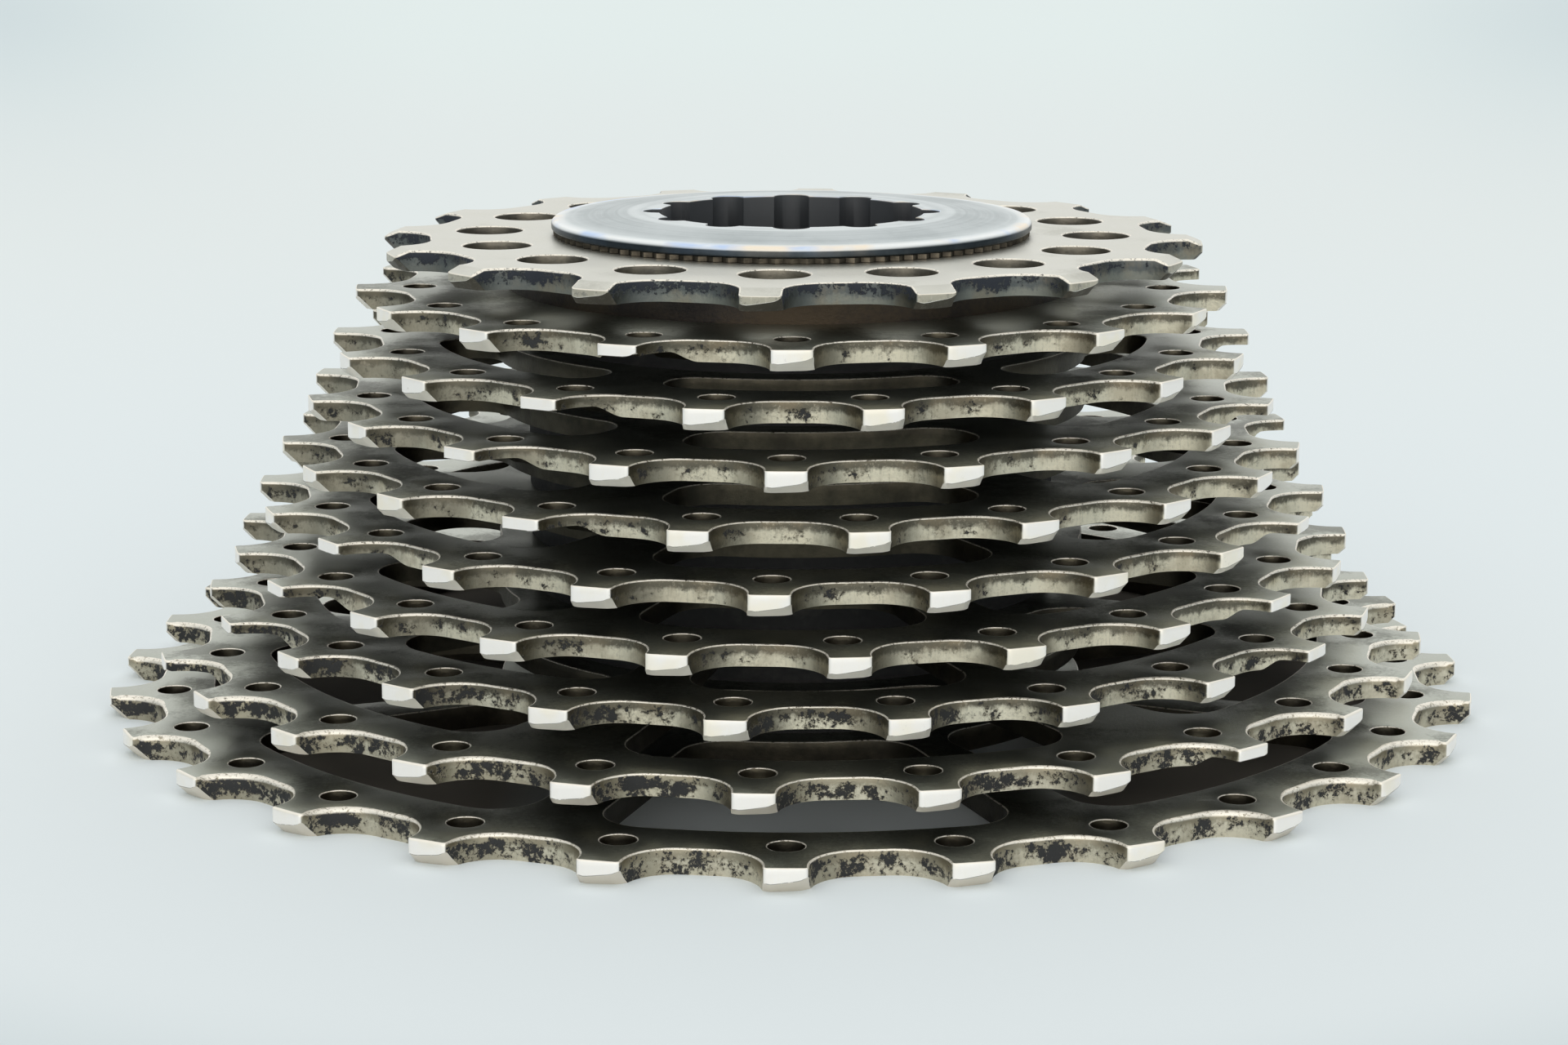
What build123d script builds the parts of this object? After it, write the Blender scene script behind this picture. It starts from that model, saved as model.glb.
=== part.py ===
"""Ten-speed bicycle cassette, 16 to 27 teeth, with its lockring.

The origin is on the axis, on the back face of the largest sprocket, and +Z points at the lockring.
Angles are measured from -Y towards +X. All sizes are in millimetres.
"""
import os
from math import cos, degrees, pi, radians, sin, sqrt
from typing import NamedTuple, Optional

from build123d import *

# Chain: the pitch and the roller that every sprocket is cut for
CHAIN_PITCH = 12.7
ROLLER_DIAMETER = 7.75

# Teeth
TOOTH_HEIGHT = 3.9          # root to tip, along the radius
TIP_WIDTH = 3.1             # width of a tooth at its cut-off tip
TIP_CORNER_RADIUS = 0.2
VALLEY_RADIUS = 3.6         # where a flank runs into the floor of the valley
TIP_BEVEL_LOW = 0.3         # height of the bevel at one side of the tip
TIP_BEVEL_HIGH = 0.75       # and at the other side
FIRST_TIP_DROP = 0.45       # how far the first sprocket's front face slopes down towards each tip
FIRST_TIP_RUN = 1.2         # and over which length

# Plates and what separates them
PLATE_THICKNESS = 1.6
BACK_PLATE_THICKNESS = 1.85
SPACER_THICKNESS = 2.35
SPACER_WIDTH = 3.55         # of its ring, outside the bore
BOSS_WIDTH = 5.15           # the same for the boss that is one piece with the first sprocket

# Splined bore, made for a nine-groove freehub body
SPLINE_COUNT = 9
GROOVE_RADIUS = 17.45
TAB_DEPTH = 1.1
TAB_WIDTH = 4.8
INDEX_TAB_WIDTH = 3.4       # the one narrow tab that sets the angle

# Lightening of the plates
WINDOW_HUB = 2.5            # from a spacer's edge to the inner edge of a window
WINDOW_RIM = 8.2            # from the pitch circle to the outer edge of a window
WINDOW_CORNER_RADIUS = 3.5
TOOTH_HOLE_RADIUS = 1.3     # one small hole behind each tooth
TOOTH_HOLE_INSET = 5.0      # from the pitch circle
TOOTH_HOLE_SINK = 0.3
FIRST_HOLE_RADIUS = 2.65    # larger holes of the first sprocket
FIRST_HOLE_GAP = 2.45       # from the lockring's flange
FIRST_HOLE_LEAD = 1.0       # degrees from the tooth that each one belongs to

# Shift gates: the back of one tooth and of the valley beside it is thinned
GATES = 3
GATE_RADIUS = 6.5
GATE_OUTSET = 1.5
GATE_SHIFT = 1.5
GATE_DEPTH = 0.75

# Rivets that hold the larger plates and their spacers together as one unit
RIVETS = 3
RIVET_RADIUS = 1.0
RIVET_INSET = 1.85          # from the bore
RIVET_CLEARANCE = 0.05
RIVET_HEAD_RADIUS = 1.6
RIVET_HEAD_HEIGHT = 0.7
RIVET_RECESS = 0.1          # how far each head ends below its face

# Lockring and the washer under its flange
WASHER_THICKNESS = 0.45
WASHER_SETBACK = 0.15       # from the flange's edge
WASHER_SERRATIONS = 100
SERRATION_DEPTH = 0.2
WASHER_CLEARANCE = 0.35
FLANGE_WIDTH = 3.85         # outside the thread
FLANGE_RIM = 0.8            # height of the flange at its rim
FLANGE_CROWN = 1.3          # and at its opening
RIM_CHAMFER = 0.25
CROWN_LAND = 2.3            # flat ring round the opening
THREAD_GAP = 1.1            # from the thread to the tabs of the bore
SKIRT_LENGTH = 5.0
SKIRT_WALL = 2.35
SOCKET_DEPTH = 2.0          # below the flange's underside
SOCKET_RADIUS = 10.5
SOCKET_NOTCHES = 12
NOTCH_RADIUS = 1.45
NOTCH_INSET = 0.15          # of the notches' centres, inside the socket's wall

# Derived sizes
SPACING = PLATE_THICKNESS + SPACER_THICKNESS
TAB_RADIUS = GROOVE_RADIUS - TAB_DEPTH
SPACER_RADIUS = GROOVE_RADIUS + SPACER_WIDTH
BOSS_RADIUS = GROOVE_RADIUS + BOSS_WIDTH
WINDOW_INNER_RADIUS = SPACER_RADIUS + WINDOW_HUB
RIVET_CIRCLE = GROOVE_RADIUS + RIVET_INSET
THREAD_RADIUS = TAB_RADIUS - THREAD_GAP
FLANGE_RADIUS = THREAD_RADIUS + FLANGE_WIDTH
WASHER_RADIUS = FLANGE_RADIUS - WASHER_SETBACK
CROWN_RADIUS = SOCKET_RADIUS + CROWN_LAND
FIRST_HOLE_CIRCLE = FLANGE_RADIUS + FIRST_HOLE_GAP + FIRST_HOLE_RADIUS
FACE_OVERRUN = 1.0          # how far a cutter runs past the face it cuts


class Sprocket(NamedTuple):
    """One plate: its teeth, the angle of its front tooth, its windows and its first gate.

    The spokes between the windows are given in degrees, and the window angle is that of one window's middle.
    The bevel rise is how much higher the bevels under its tips are than usual.
    """

    teeth: int
    tooth_angle: float
    windows: int = 0
    spoke: float = 0.0
    window_angle: float = 0.0
    gate_tooth: Optional[int] = None
    bevel_rise: float = 0.0


# From the back of the stack to the front
SPROCKETS = [
    Sprocket(27, -0.3, windows=8, spoke=7.0, window_angle=1.5, bevel_rise=0.3),
    Sprocket(25, -2.8, windows=6, spoke=13.5, window_angle=6.0, gate_tooth=-5),
    Sprocket(23, -5.5, windows=9, spoke=7.5, window_angle=4.5, gate_tooth=-4),
    Sprocket(22, 5.3, windows=8, spoke=9.0, window_angle=-1.0, gate_tooth=-4),
    Sprocket(21, -2.0, windows=6, spoke=14.0, window_angle=4.5, gate_tooth=-3),
    Sprocket(20, 7.8, windows=6, spoke=14.0, window_angle=4.5, gate_tooth=-2),
    Sprocket(19, -0.5, windows=6, spoke=14.0, window_angle=6.5, gate_tooth=-2),
    Sprocket(18, -9.7, windows=6, spoke=12.0, window_angle=3.5, gate_tooth=-1),
    Sprocket(17, 0.1, gate_tooth=-1, bevel_rise=0.15),
    Sprocket(16, -3.9, bevel_rise=0.1),
]
RIVETED_PLATES = 5          # the largest ones


def pitch_radius(teeth: int) -> float:
    """Radius of the circle through the centres of the rollers of a seated chain."""
    return CHAIN_PITCH / 2 / sin(pi / teeth)


def root_radius(teeth: int) -> float:
    """Radius of the floor of the valleys, on which the rollers sit."""
    return pitch_radius(teeth) - ROLLER_DIAMETER / 2


def tip_radius(teeth: int) -> float:
    """Radius of the cut-off tips of the teeth."""
    return root_radius(teeth) + TOOTH_HEIGHT


def plate_bottom(index: int) -> float:
    """Height of the back face of a plate, counted from the back of the stack."""
    return 0.0 if index == 0 else BACK_PLATE_THICKNESS - PLATE_THICKNESS + index * SPACING


def plate_thickness(index: int) -> float:
    """Thickness of a plate: the back one carries the others and is a little thicker."""
    return BACK_PLATE_THICKNESS if index == 0 else PLATE_THICKNESS


def plate_top(index: int) -> float:
    """Height of the front face of a plate."""
    return plate_bottom(index) + plate_thickness(index)


def turned(shape, angle: float):
    """A copy of a shape drawn at -Y, turned about the axis towards +X."""
    return Rot(0, 0, angle) * shape


def at_angle(radius: float, angle: float, height: float = 0.0) -> Pos:
    """The location at a radius and an angle from -Y towards +X."""
    return Pos(radius * sin(radians(angle)), -radius * cos(radians(angle)), height)


def polar_point(offset: Vector, angle: float, side: int) -> Vector:
    """A point given by its distances across and along the radius at an angle, on one side of it."""
    across = Vector(cos(radians(angle)), sin(radians(angle))) * (side * offset.X)
    along = Vector(sin(radians(angle)), -cos(radians(angle))) * offset.Y
    return across + along


def tooth_angles(sprocket: Sprocket) -> list[float]:
    """Angles of all teeth of a sprocket."""
    return [sprocket.tooth_angle + 360 / sprocket.teeth * k for k in range(sprocket.teeth)]


def toothed_disc(sprocket: Sprocket) -> Sketch:
    """The outline of a sprocket, tooth by tooth: rounded tip, straight flank, then a filleted valley."""
    root = root_radius(sprocket.teeth)
    tip = tip_radius(sprocket.teeth)
    half_tip = TIP_WIDTH / 2
    half_step = pi / sprocket.teeth
    # Centre of a tip corner, as its distances across and along the tooth
    corner = Vector(half_tip - TIP_CORNER_RADIUS, 0)
    corner.Y = sqrt((tip - TIP_CORNER_RADIUS) ** 2 - corner.X ** 2)
    # Centre of a valley's rounding, as its distances from the valley's middle and from the axis
    rounding = Vector(0, root + VALLEY_RADIUS)
    rounding.X = (rounding.Y * sin(half_step) - half_tip - VALLEY_RADIUS) / cos(half_step)
    to_flank = Vector(cos(half_step), -sin(half_step))
    to_middle = (to_flank + Vector(0, -1)).normalized()
    edges = []
    for tooth in tooth_angles(sprocket):
        valley = tooth + degrees(half_step)
        for side in (-1, 1):
            # The flank on this side of the tooth, and the valley's rounding that it runs into
            tip_end = corner * (tip / (tip - TIP_CORNER_RADIUS))
            tip_bend = corner + Vector(1, 1).normalized() * TIP_CORNER_RADIUS
            tip_start = Vector(half_tip, corner.Y)
            middle = tooth + side * degrees(half_step)
            flank_end = rounding + to_flank * VALLEY_RADIUS
            bend = rounding + to_middle * VALLEY_RADIUS
            floor = Vector(rounding.X, root)
            start = polar_point(tip_start, tooth, side)
            finish = polar_point(flank_end, middle, -side)
            edges.append(ThreePointArc(polar_point(tip_end, tooth, side), polar_point(tip_bend, tooth, side), start))
            edges.append(Line(start, finish))
            edges.append(ThreePointArc(finish, polar_point(bend, middle, -side), polar_point(floor, middle, -side)))
        edges.append(ThreePointArc(polar_point(tip_end, tooth, -1), polar_point(Vector(0, tip), tooth, 1),
                                   polar_point(tip_end, tooth, 1)))
        edges.append(Line(polar_point(floor, valley, -1), polar_point(floor, valley, 1)))
    return make_face(edges)


def spline_bore(clearance: float = 0.0) -> Sketch:
    """The bore's outline: a groove circle less nine tabs, one of them narrower."""
    groove = GROOVE_RADIUS + clearance
    tab_tip = TAB_RADIUS + clearance
    bore = Circle(groove)
    for number in range(SPLINE_COUNT):
        width = INDEX_TAB_WIDTH if number == 0 else TAB_WIDTH
        tab = Pos(0, -groove) * Rectangle(width, 2 * (groove - tab_tip))
        bore -= turned(tab, 360 / SPLINE_COUNT * number)
    return bore + Circle(tab_tip)


def window(sprocket: Sprocket) -> Sketch:
    """One window, centred on -Y: a piece of a ring with rounded corners."""
    outer_radius = pitch_radius(sprocket.teeth) - WINDOW_RIM
    half = radians(360 / sprocket.windows - sprocket.spoke) / 2
    reach = outer_radius + FACE_OVERRUN
    wedge = make_face(Polyline((0, 0), (-reach * sin(half), -reach * cos(half)), (0, -2 * reach),
                               (reach * sin(half), -reach * cos(half)), close=True))
    opening = (Circle(outer_radius) - Circle(WINDOW_INNER_RADIUS)) & wedge
    radial_room = (outer_radius - WINDOW_INNER_RADIUS) / 2
    return fillet(opening.vertices(), min(WINDOW_CORNER_RADIUS, 0.9 * radial_room))


def bevel_block() -> Part:
    """The block that cuts all beyond a bevel's face: wider and longer than a tooth's tip."""
    return Box(2 * TIP_WIDTH, 2 * TIP_WIDTH, TIP_WIDTH, align=(Align.CENTER, Align.CENTER, Align.MIN))


def tip_bevel(sprocket: Sprocket, bottom: float) -> Part:
    """Cutter for the slanted bevel under a tooth's tip, drawn at -Y."""
    slope = (TIP_BEVEL_HIGH - TIP_BEVEL_LOW) / TIP_WIDTH
    middle = bottom + (TIP_BEVEL_HIGH + TIP_BEVEL_LOW) / 2 + sprocket.bevel_rise
    face = Plane(origin=(0, -tip_radius(sprocket.teeth), middle), x_dir=(1, 0, slope), z_dir=(slope, -1, -1))
    return face * bevel_block()


def first_tip_bevel(sprocket: Sprocket, top: float) -> Part:
    """Cutter that slopes the first sprocket's front face down to a tooth's tip, drawn at -Y."""
    face = Plane(origin=(0, -tip_radius(sprocket.teeth), top - FIRST_TIP_DROP), x_dir=(1, 0, 0),
                 z_dir=(0, -FIRST_TIP_DROP, FIRST_TIP_RUN))
    return face * bevel_block()


def gate_cutters(sprocket: Sprocket, bottom: float) -> list[Part]:
    """Cutters that thin the back of each gate's tooth and of the valley beside it."""
    if sprocket.gate_tooth is None:
        return []
    radius = tip_radius(sprocket.teeth) + GATE_OUTSET
    cutter = Cylinder(GATE_RADIUS, GATE_DEPTH + FACE_OVERRUN, align=(Align.CENTER, Align.CENTER, Align.MIN))
    cutters = []
    for number in range(GATES):
        tooth = sprocket.gate_tooth + round(sprocket.teeth * number / GATES)
        angle = sprocket.tooth_angle + 360 / sprocket.teeth * tooth + degrees(GATE_SHIFT / radius)
        cutters.append(at_angle(radius, angle, bottom - FACE_OVERRUN) * cutter)
    return cutters


def tooth_hole_sink() -> Part:
    """Cutter for the countersunk lip of a small hole, with its wide end at z = 0."""
    return Cone(TOOTH_HOLE_RADIUS, TOOTH_HOLE_RADIUS + TOOTH_HOLE_SINK, TOOTH_HOLE_SINK,
                align=(Align.CENTER, Align.CENTER, Align.MAX))


def rivet_solid(clearance: float = 0.0) -> Part:
    """One rivet with a flush head at each end, or its hole when it is given a clearance."""
    low = RIVET_RECESS - clearance
    high = plate_top(RIVETED_PLATES - 1) - RIVET_RECESS + clearance
    shank = RIVET_RADIUS + clearance
    head = RIVET_HEAD_RADIUS + clearance
    half_section = Polyline((0, low), (head, low), (shank, low + RIVET_HEAD_HEIGHT),
                            (shank, high - RIVET_HEAD_HEIGHT), (head, high), (0, high), close=True)
    return revolve(Plane.XZ * make_face(half_section), Axis.Z)


def rivet_angle(number: int) -> float:
    """Angle of a rivet, midway between two tabs of the bore."""
    return 180 / SPLINE_COUNT + 360 / RIVETS * number


def rivet_holes() -> list[Part]:
    """Cutters for the holes of all rivets, open at both faces of the unit."""
    length = plate_top(RIVETED_PLATES - 1) + 2 * FACE_OVERRUN
    through = Cylinder(RIVET_HEAD_RADIUS + RIVET_CLEARANCE, RIVET_RECESS + FACE_OVERRUN,
                       align=(Align.CENTER, Align.CENTER, Align.MIN))
    cutters = []
    for number in range(RIVETS):
        place = at_angle(RIVET_CIRCLE, rivet_angle(number))
        cutters.append(place * rivet_solid(RIVET_CLEARANCE))
        cutters.append(place * Pos(0, 0, -FACE_OVERRUN) * through)
        cutters.append(place * Pos(0, 0, length - 2 * FACE_OVERRUN - RIVET_RECESS) * through)
    return cutters


def sprocket_part(index: int) -> Part:
    """One sprocket plate in its place in the stack."""
    sprocket = SPROCKETS[index]
    is_first = index == len(SPROCKETS) - 1
    bottom = plate_bottom(index)
    face = toothed_disc(sprocket) - spline_bore()
    if sprocket.windows:
        opening = window(sprocket)
        step = 360 / sprocket.windows
        face -= [turned(opening, sprocket.window_angle + step * k) for k in range(sprocket.windows)]
    if is_first:
        face -= [at_angle(FIRST_HOLE_CIRCLE, angle + FIRST_HOLE_LEAD) * Circle(FIRST_HOLE_RADIUS)
                 for angle in tooth_angles(sprocket)]
        slope = first_tip_bevel(sprocket, plate_top(index))
        front_cutters = [turned(slope, angle) for angle in tooth_angles(sprocket)]
    else:
        hole_circle = pitch_radius(sprocket.teeth) - TOOTH_HOLE_INSET
        face -= [at_angle(hole_circle, angle) * Circle(TOOTH_HOLE_RADIUS) for angle in tooth_angles(sprocket)]
        front_cutters = [at_angle(hole_circle, angle, plate_top(index)) * tooth_hole_sink()
                         for angle in tooth_angles(sprocket)]
    plate = extrude(Pos(0, 0, bottom) * face, plate_thickness(index))
    bevel = tip_bevel(sprocket, bottom)
    bevels = [turned(bevel, angle) for angle in tooth_angles(sprocket)]
    plate -= bevels + front_cutters + gate_cutters(sprocket, bottom)
    if index < RIVETED_PLATES:
        plate -= rivet_holes()
    if is_first:
        boss = Circle(BOSS_RADIUS) - spline_bore()
        plate += extrude(Pos(0, 0, bottom - SPACER_THICKNESS) * boss, SPACER_THICKNESS)
    return plate


def spacer_part(index: int) -> Part:
    """The ring that stands on a plate and carries the next one."""
    ring = extrude(Pos(0, 0, plate_top(index)) * (Circle(SPACER_RADIUS) - spline_bore()), SPACER_THICKNESS)
    return ring - rivet_holes() if index < RIVETED_PLATES - 1 else ring


def rivet_group() -> Compound:
    """The rivets of the unit, as separate solids in one group."""
    return Compound(children=[at_angle(RIVET_CIRCLE, rivet_angle(number)) * rivet_solid()
                              for number in range(RIVETS)])


def washer_part(bottom: float) -> Part:
    """The thin washer under the flange, with a finely serrated edge."""
    corners = []
    for number in range(2 * WASHER_SERRATIONS):
        radius = WASHER_RADIUS - SERRATION_DEPTH * (number % 2)
        angle = pi * number / WASHER_SERRATIONS
        corners.append((radius * sin(angle), -radius * cos(angle)))
    face = make_face(Polyline(*corners, close=True)) - Circle(THREAD_RADIUS + WASHER_CLEARANCE)
    return extrude(Pos(0, 0, bottom) * face, WASHER_THICKNESS)


def lockring_part(bottom: float) -> Part:
    """The lockring: a crowned flange with a notched socket, over a skirt that carries the thread."""
    skirt_bore = THREAD_RADIUS - SKIRT_WALL
    section = Polyline(
        (THREAD_RADIUS, bottom), (FLANGE_RADIUS, bottom), (FLANGE_RADIUS, bottom + FLANGE_RIM - RIM_CHAMFER),
        (FLANGE_RADIUS - RIM_CHAMFER, bottom + FLANGE_RIM), (CROWN_RADIUS, bottom + FLANGE_CROWN),
        (SOCKET_RADIUS, bottom + FLANGE_CROWN), (SOCKET_RADIUS, bottom - SOCKET_DEPTH),
        (skirt_bore, bottom - SOCKET_DEPTH), (skirt_bore, bottom - SKIRT_LENGTH),
        (THREAD_RADIUS, bottom - SKIRT_LENGTH), close=True)
    ring = revolve(Plane.XZ * make_face(section), Axis.Z)
    depth = FLANGE_CROWN + SOCKET_DEPTH + 2 * FACE_OVERRUN
    notch = Cylinder(NOTCH_RADIUS, depth, align=(Align.CENTER, Align.CENTER, Align.MIN))
    place = bottom - SOCKET_DEPTH - FACE_OVERRUN
    notch_circle = SOCKET_RADIUS - NOTCH_INSET
    return ring - [at_angle(notch_circle, 360 / SOCKET_NOTCHES * k, place) * notch for k in range(SOCKET_NOTCHES)]


def all_nodes() -> dict:
    """Every node of the cassette by name."""
    nodes = {}
    for index, sprocket in enumerate(SPROCKETS):
        nodes[f"sprocket_{sprocket.teeth}"] = sprocket_part(index)
    for index in range(len(SPROCKETS) - 2):
        below, above = SPROCKETS[index], SPROCKETS[index + 1]
        nodes[f"spacer_{below.teeth}_{above.teeth}"] = spacer_part(index)
    nodes["unit_rivets"] = rivet_group()
    seat = plate_top(len(SPROCKETS) - 1)
    nodes["lock_washer"] = washer_part(seat)
    nodes["lockring"] = lockring_part(seat + WASHER_THICKNESS)
    return nodes


os.makedirs("parts", exist_ok=True)
for name, shape in all_nodes().items():
    export_step(shape, f"parts/{name}.step")
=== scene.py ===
"""Looks of a ten-speed bicycle cassette that stands on a plain pale table.

Every plate, ring and washer is a surface worked out with numpy in millimetres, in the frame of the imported
model: Z is the axis, and angles are measured from -Y towards +X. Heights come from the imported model.
"""
import logging
from dataclasses import dataclass, field
from enum import Enum
from math import asin, cos, degrees, pi, radians, sin, sqrt
from typing import Any, Callable, Optional, Union

import bpy
import numpy as np
from mathutils import Matrix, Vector
from mathutils.geometry import delaunay_2d_cdt


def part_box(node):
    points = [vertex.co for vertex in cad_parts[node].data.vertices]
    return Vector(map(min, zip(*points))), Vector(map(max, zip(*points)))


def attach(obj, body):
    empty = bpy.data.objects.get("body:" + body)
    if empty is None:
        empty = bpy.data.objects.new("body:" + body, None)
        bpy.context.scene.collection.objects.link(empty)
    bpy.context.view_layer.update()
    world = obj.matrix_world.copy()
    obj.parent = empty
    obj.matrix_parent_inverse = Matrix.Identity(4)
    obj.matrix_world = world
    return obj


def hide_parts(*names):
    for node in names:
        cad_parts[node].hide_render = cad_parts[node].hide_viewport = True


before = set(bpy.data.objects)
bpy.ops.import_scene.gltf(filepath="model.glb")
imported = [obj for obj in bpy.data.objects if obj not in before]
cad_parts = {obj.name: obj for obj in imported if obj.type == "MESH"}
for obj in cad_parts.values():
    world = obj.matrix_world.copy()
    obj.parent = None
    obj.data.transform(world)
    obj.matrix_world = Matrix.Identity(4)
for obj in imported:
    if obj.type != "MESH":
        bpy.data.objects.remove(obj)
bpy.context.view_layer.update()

log = logging.getLogger("cassette")
MM = 0.001
Colour = tuple[float, float, float]


class Body(Enum):
    """The bodies that a piece can ride on."""

    STACK = "stack"
    WASHER = "lock_washer"
    LOCKRING = "lockring"


class Slot(Enum):
    """The record's material slots, one passed with each new piece."""

    SPROCKET = "sprocket_steel"
    FIRST = "first_sprocket_nickel"
    SPACER = "spacer_plastic"
    WASHER = "washer_steel"
    LOCKRING = "lockring_zinc"


# ---------------------------------------------------------------- flat outlines

def polar(radius: Union[float, np.ndarray], angle: np.ndarray) -> np.ndarray:
    """Points at a radius and at angles in degrees, measured from -Y towards +X.

    Args:
        radius: one radius, or one for each angle.
        angle: the angles.

    Returns:
        An array of x and y: (r sin a, -r cos a).
    """
    turn = np.radians(angle)
    return np.stack([radius * np.sin(turn), -radius * np.cos(turn)], axis=-1)


def arc(centre: tuple[float, float], radius: float, start: float, end: float, steps: int) -> np.ndarray:
    """Points on an arc in a frame of x across and y along: centre + r (sin a, cos a), a from start to end.

    Args:
        centre: the arc's centre.
        radius: its radius.
        start: the first angle in degrees, from +y towards +x.
        end: the last angle.
        steps: how many chords.

    Returns:
        An array of steps + 1 points.
    """
    turn = np.radians(np.linspace(start, end, steps + 1))
    return np.stack([centre[0] + radius * np.sin(turn), centre[1] + radius * np.cos(turn)], axis=-1)


def circle(radius: Union[float, np.ndarray], steps: int = 180) -> np.ndarray:
    """Points on a circle about the axis, or on several for a column of radii."""
    return polar(radius, np.linspace(0, 360, steps, endpoint=False))


def to_place(across: np.ndarray, along: np.ndarray, angle: np.ndarray) -> np.ndarray:
    """Points of a tooth's own frame, carried to its place: the same radius, and the sum of the angles.

    Args:
        across: distances to the right of the tooth's middle.
        along: distances from the axis along it.
        angle: a column of the teeth's angles, in degrees.

    Returns:
        An array of x and y.
    """
    return polar(np.hypot(across, along), angle + np.degrees(np.arctan2(across, along)))


def from_nearest(angle: np.ndarray, count: int) -> np.ndarray:
    """Angles measured from the nearest of evenly spaced places, of which the first lies at zero.

    Args:
        angle: angles in degrees.
        count: how many places there are in a turn.

    Returns:
        An angle in radians for each, from minus half a step to half a step.
    """
    step = 360 / count
    return np.radians((angle + step / 2) % step - step / 2)


def heights(node: str) -> tuple[float, float]:
    """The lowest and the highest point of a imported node, in millimetres."""
    low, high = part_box(node)
    return low.z / MM, high.z / MM


@dataclass
class Loop:
    """A closed line in the plane with the metal on its left.

    Attributes:
        points: its corners, in order.
        break_width: how far the edge of the upper face is broken back, at each corner.
        tip: how much each corner belongs to the land of a tooth, 0 to 1.
        outer: 1 for the outside of a piece and 0 for a hole.
    """

    points: np.ndarray
    break_width: Union[float, np.ndarray] = 0.12
    tip: Union[float, np.ndarray] = 0.0
    outer: float = 0.0

    def __post_init__(self) -> None:
        """Gives every corner its own value."""
        count = len(self.points)
        self.break_width = np.broadcast_to(np.asarray(self.break_width, float), count).copy()
        self.tip = np.broadcast_to(np.asarray(self.tip, float), count).copy()

    def outward(self) -> np.ndarray:
        """Directions out of the metal: the sum of the two sides' normals, divided by 1 plus their product.

        Returns:
            One vector for each corner. A step of one along it moves both sides by one.
        """
        along = np.roll(self.points, -1, axis=0) - self.points
        along /= np.linalg.norm(along, axis=1, keepdims=True)
        normal = np.stack([along[:, 1], -along[:, 0]], axis=-1)
        before = np.roll(normal, 1, axis=0)
        return (normal + before) / (1 + (normal * before).sum(axis=1, keepdims=True))


def circle_hole(centre: np.ndarray, radius: float, steps: int, break_width: float) -> Loop:
    """A round hole: centre + r (cos a, -sin a), so that it runs clockwise.

    Args:
        centre: x and y of its middle.
        radius: its radius.
        steps: how many chords.
        break_width: width of its countersunk lip.

    Returns:
        The hole.
    """
    turn = np.arange(steps) * 2 * pi / steps
    return Loop(centre + radius * np.stack([np.cos(turn), -np.sin(turn)], axis=-1), break_width)


def inside(points: np.ndarray, loops: list[Loop]) -> np.ndarray:
    """Which points lie in the metal: a ray along +x crosses the loops an odd number of times.

    Args:
        points: the points to test.
        loops: all loops of the piece.

    Returns:
        A truth value for each point.
    """
    start = np.concatenate([loop.points for loop in loops])
    end = np.concatenate([np.roll(loop.points, -1, axis=0) for loop in loops])
    odd = np.zeros(len(points), bool)
    for chunk in np.array_split(np.arange(len(points)), max(1, len(points) // 800)):
        x, y = points[chunk, 0, None], points[chunk, 1, None]
        spans = (start[:, 1] > y) != (end[:, 1] > y)
        rise = np.where(end[:, 1] == start[:, 1], 1.0, end[:, 1] - start[:, 1])
        crossing = start[:, 0] + (y - start[:, 1]) / rise * (end[:, 0] - start[:, 0])
        odd[chunk] = (spans & (crossing > x)).sum(axis=1) % 2 == 1
    return odd


# ---------------------------------------------------------------- surfaces

TAGS = ("outer", "height", "edge", "tip", "flank")
SHARP_ANGLE = radians(40)
NO_POINTS = np.zeros((0, 2))
NO_PAIRS = np.zeros((0, 2), int)
BREAK_DEPTH = 0.8           # depth of a broken edge, as a share of its width
FLAT = 1e-4                 # a face that is lifted by less counts as flat


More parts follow.
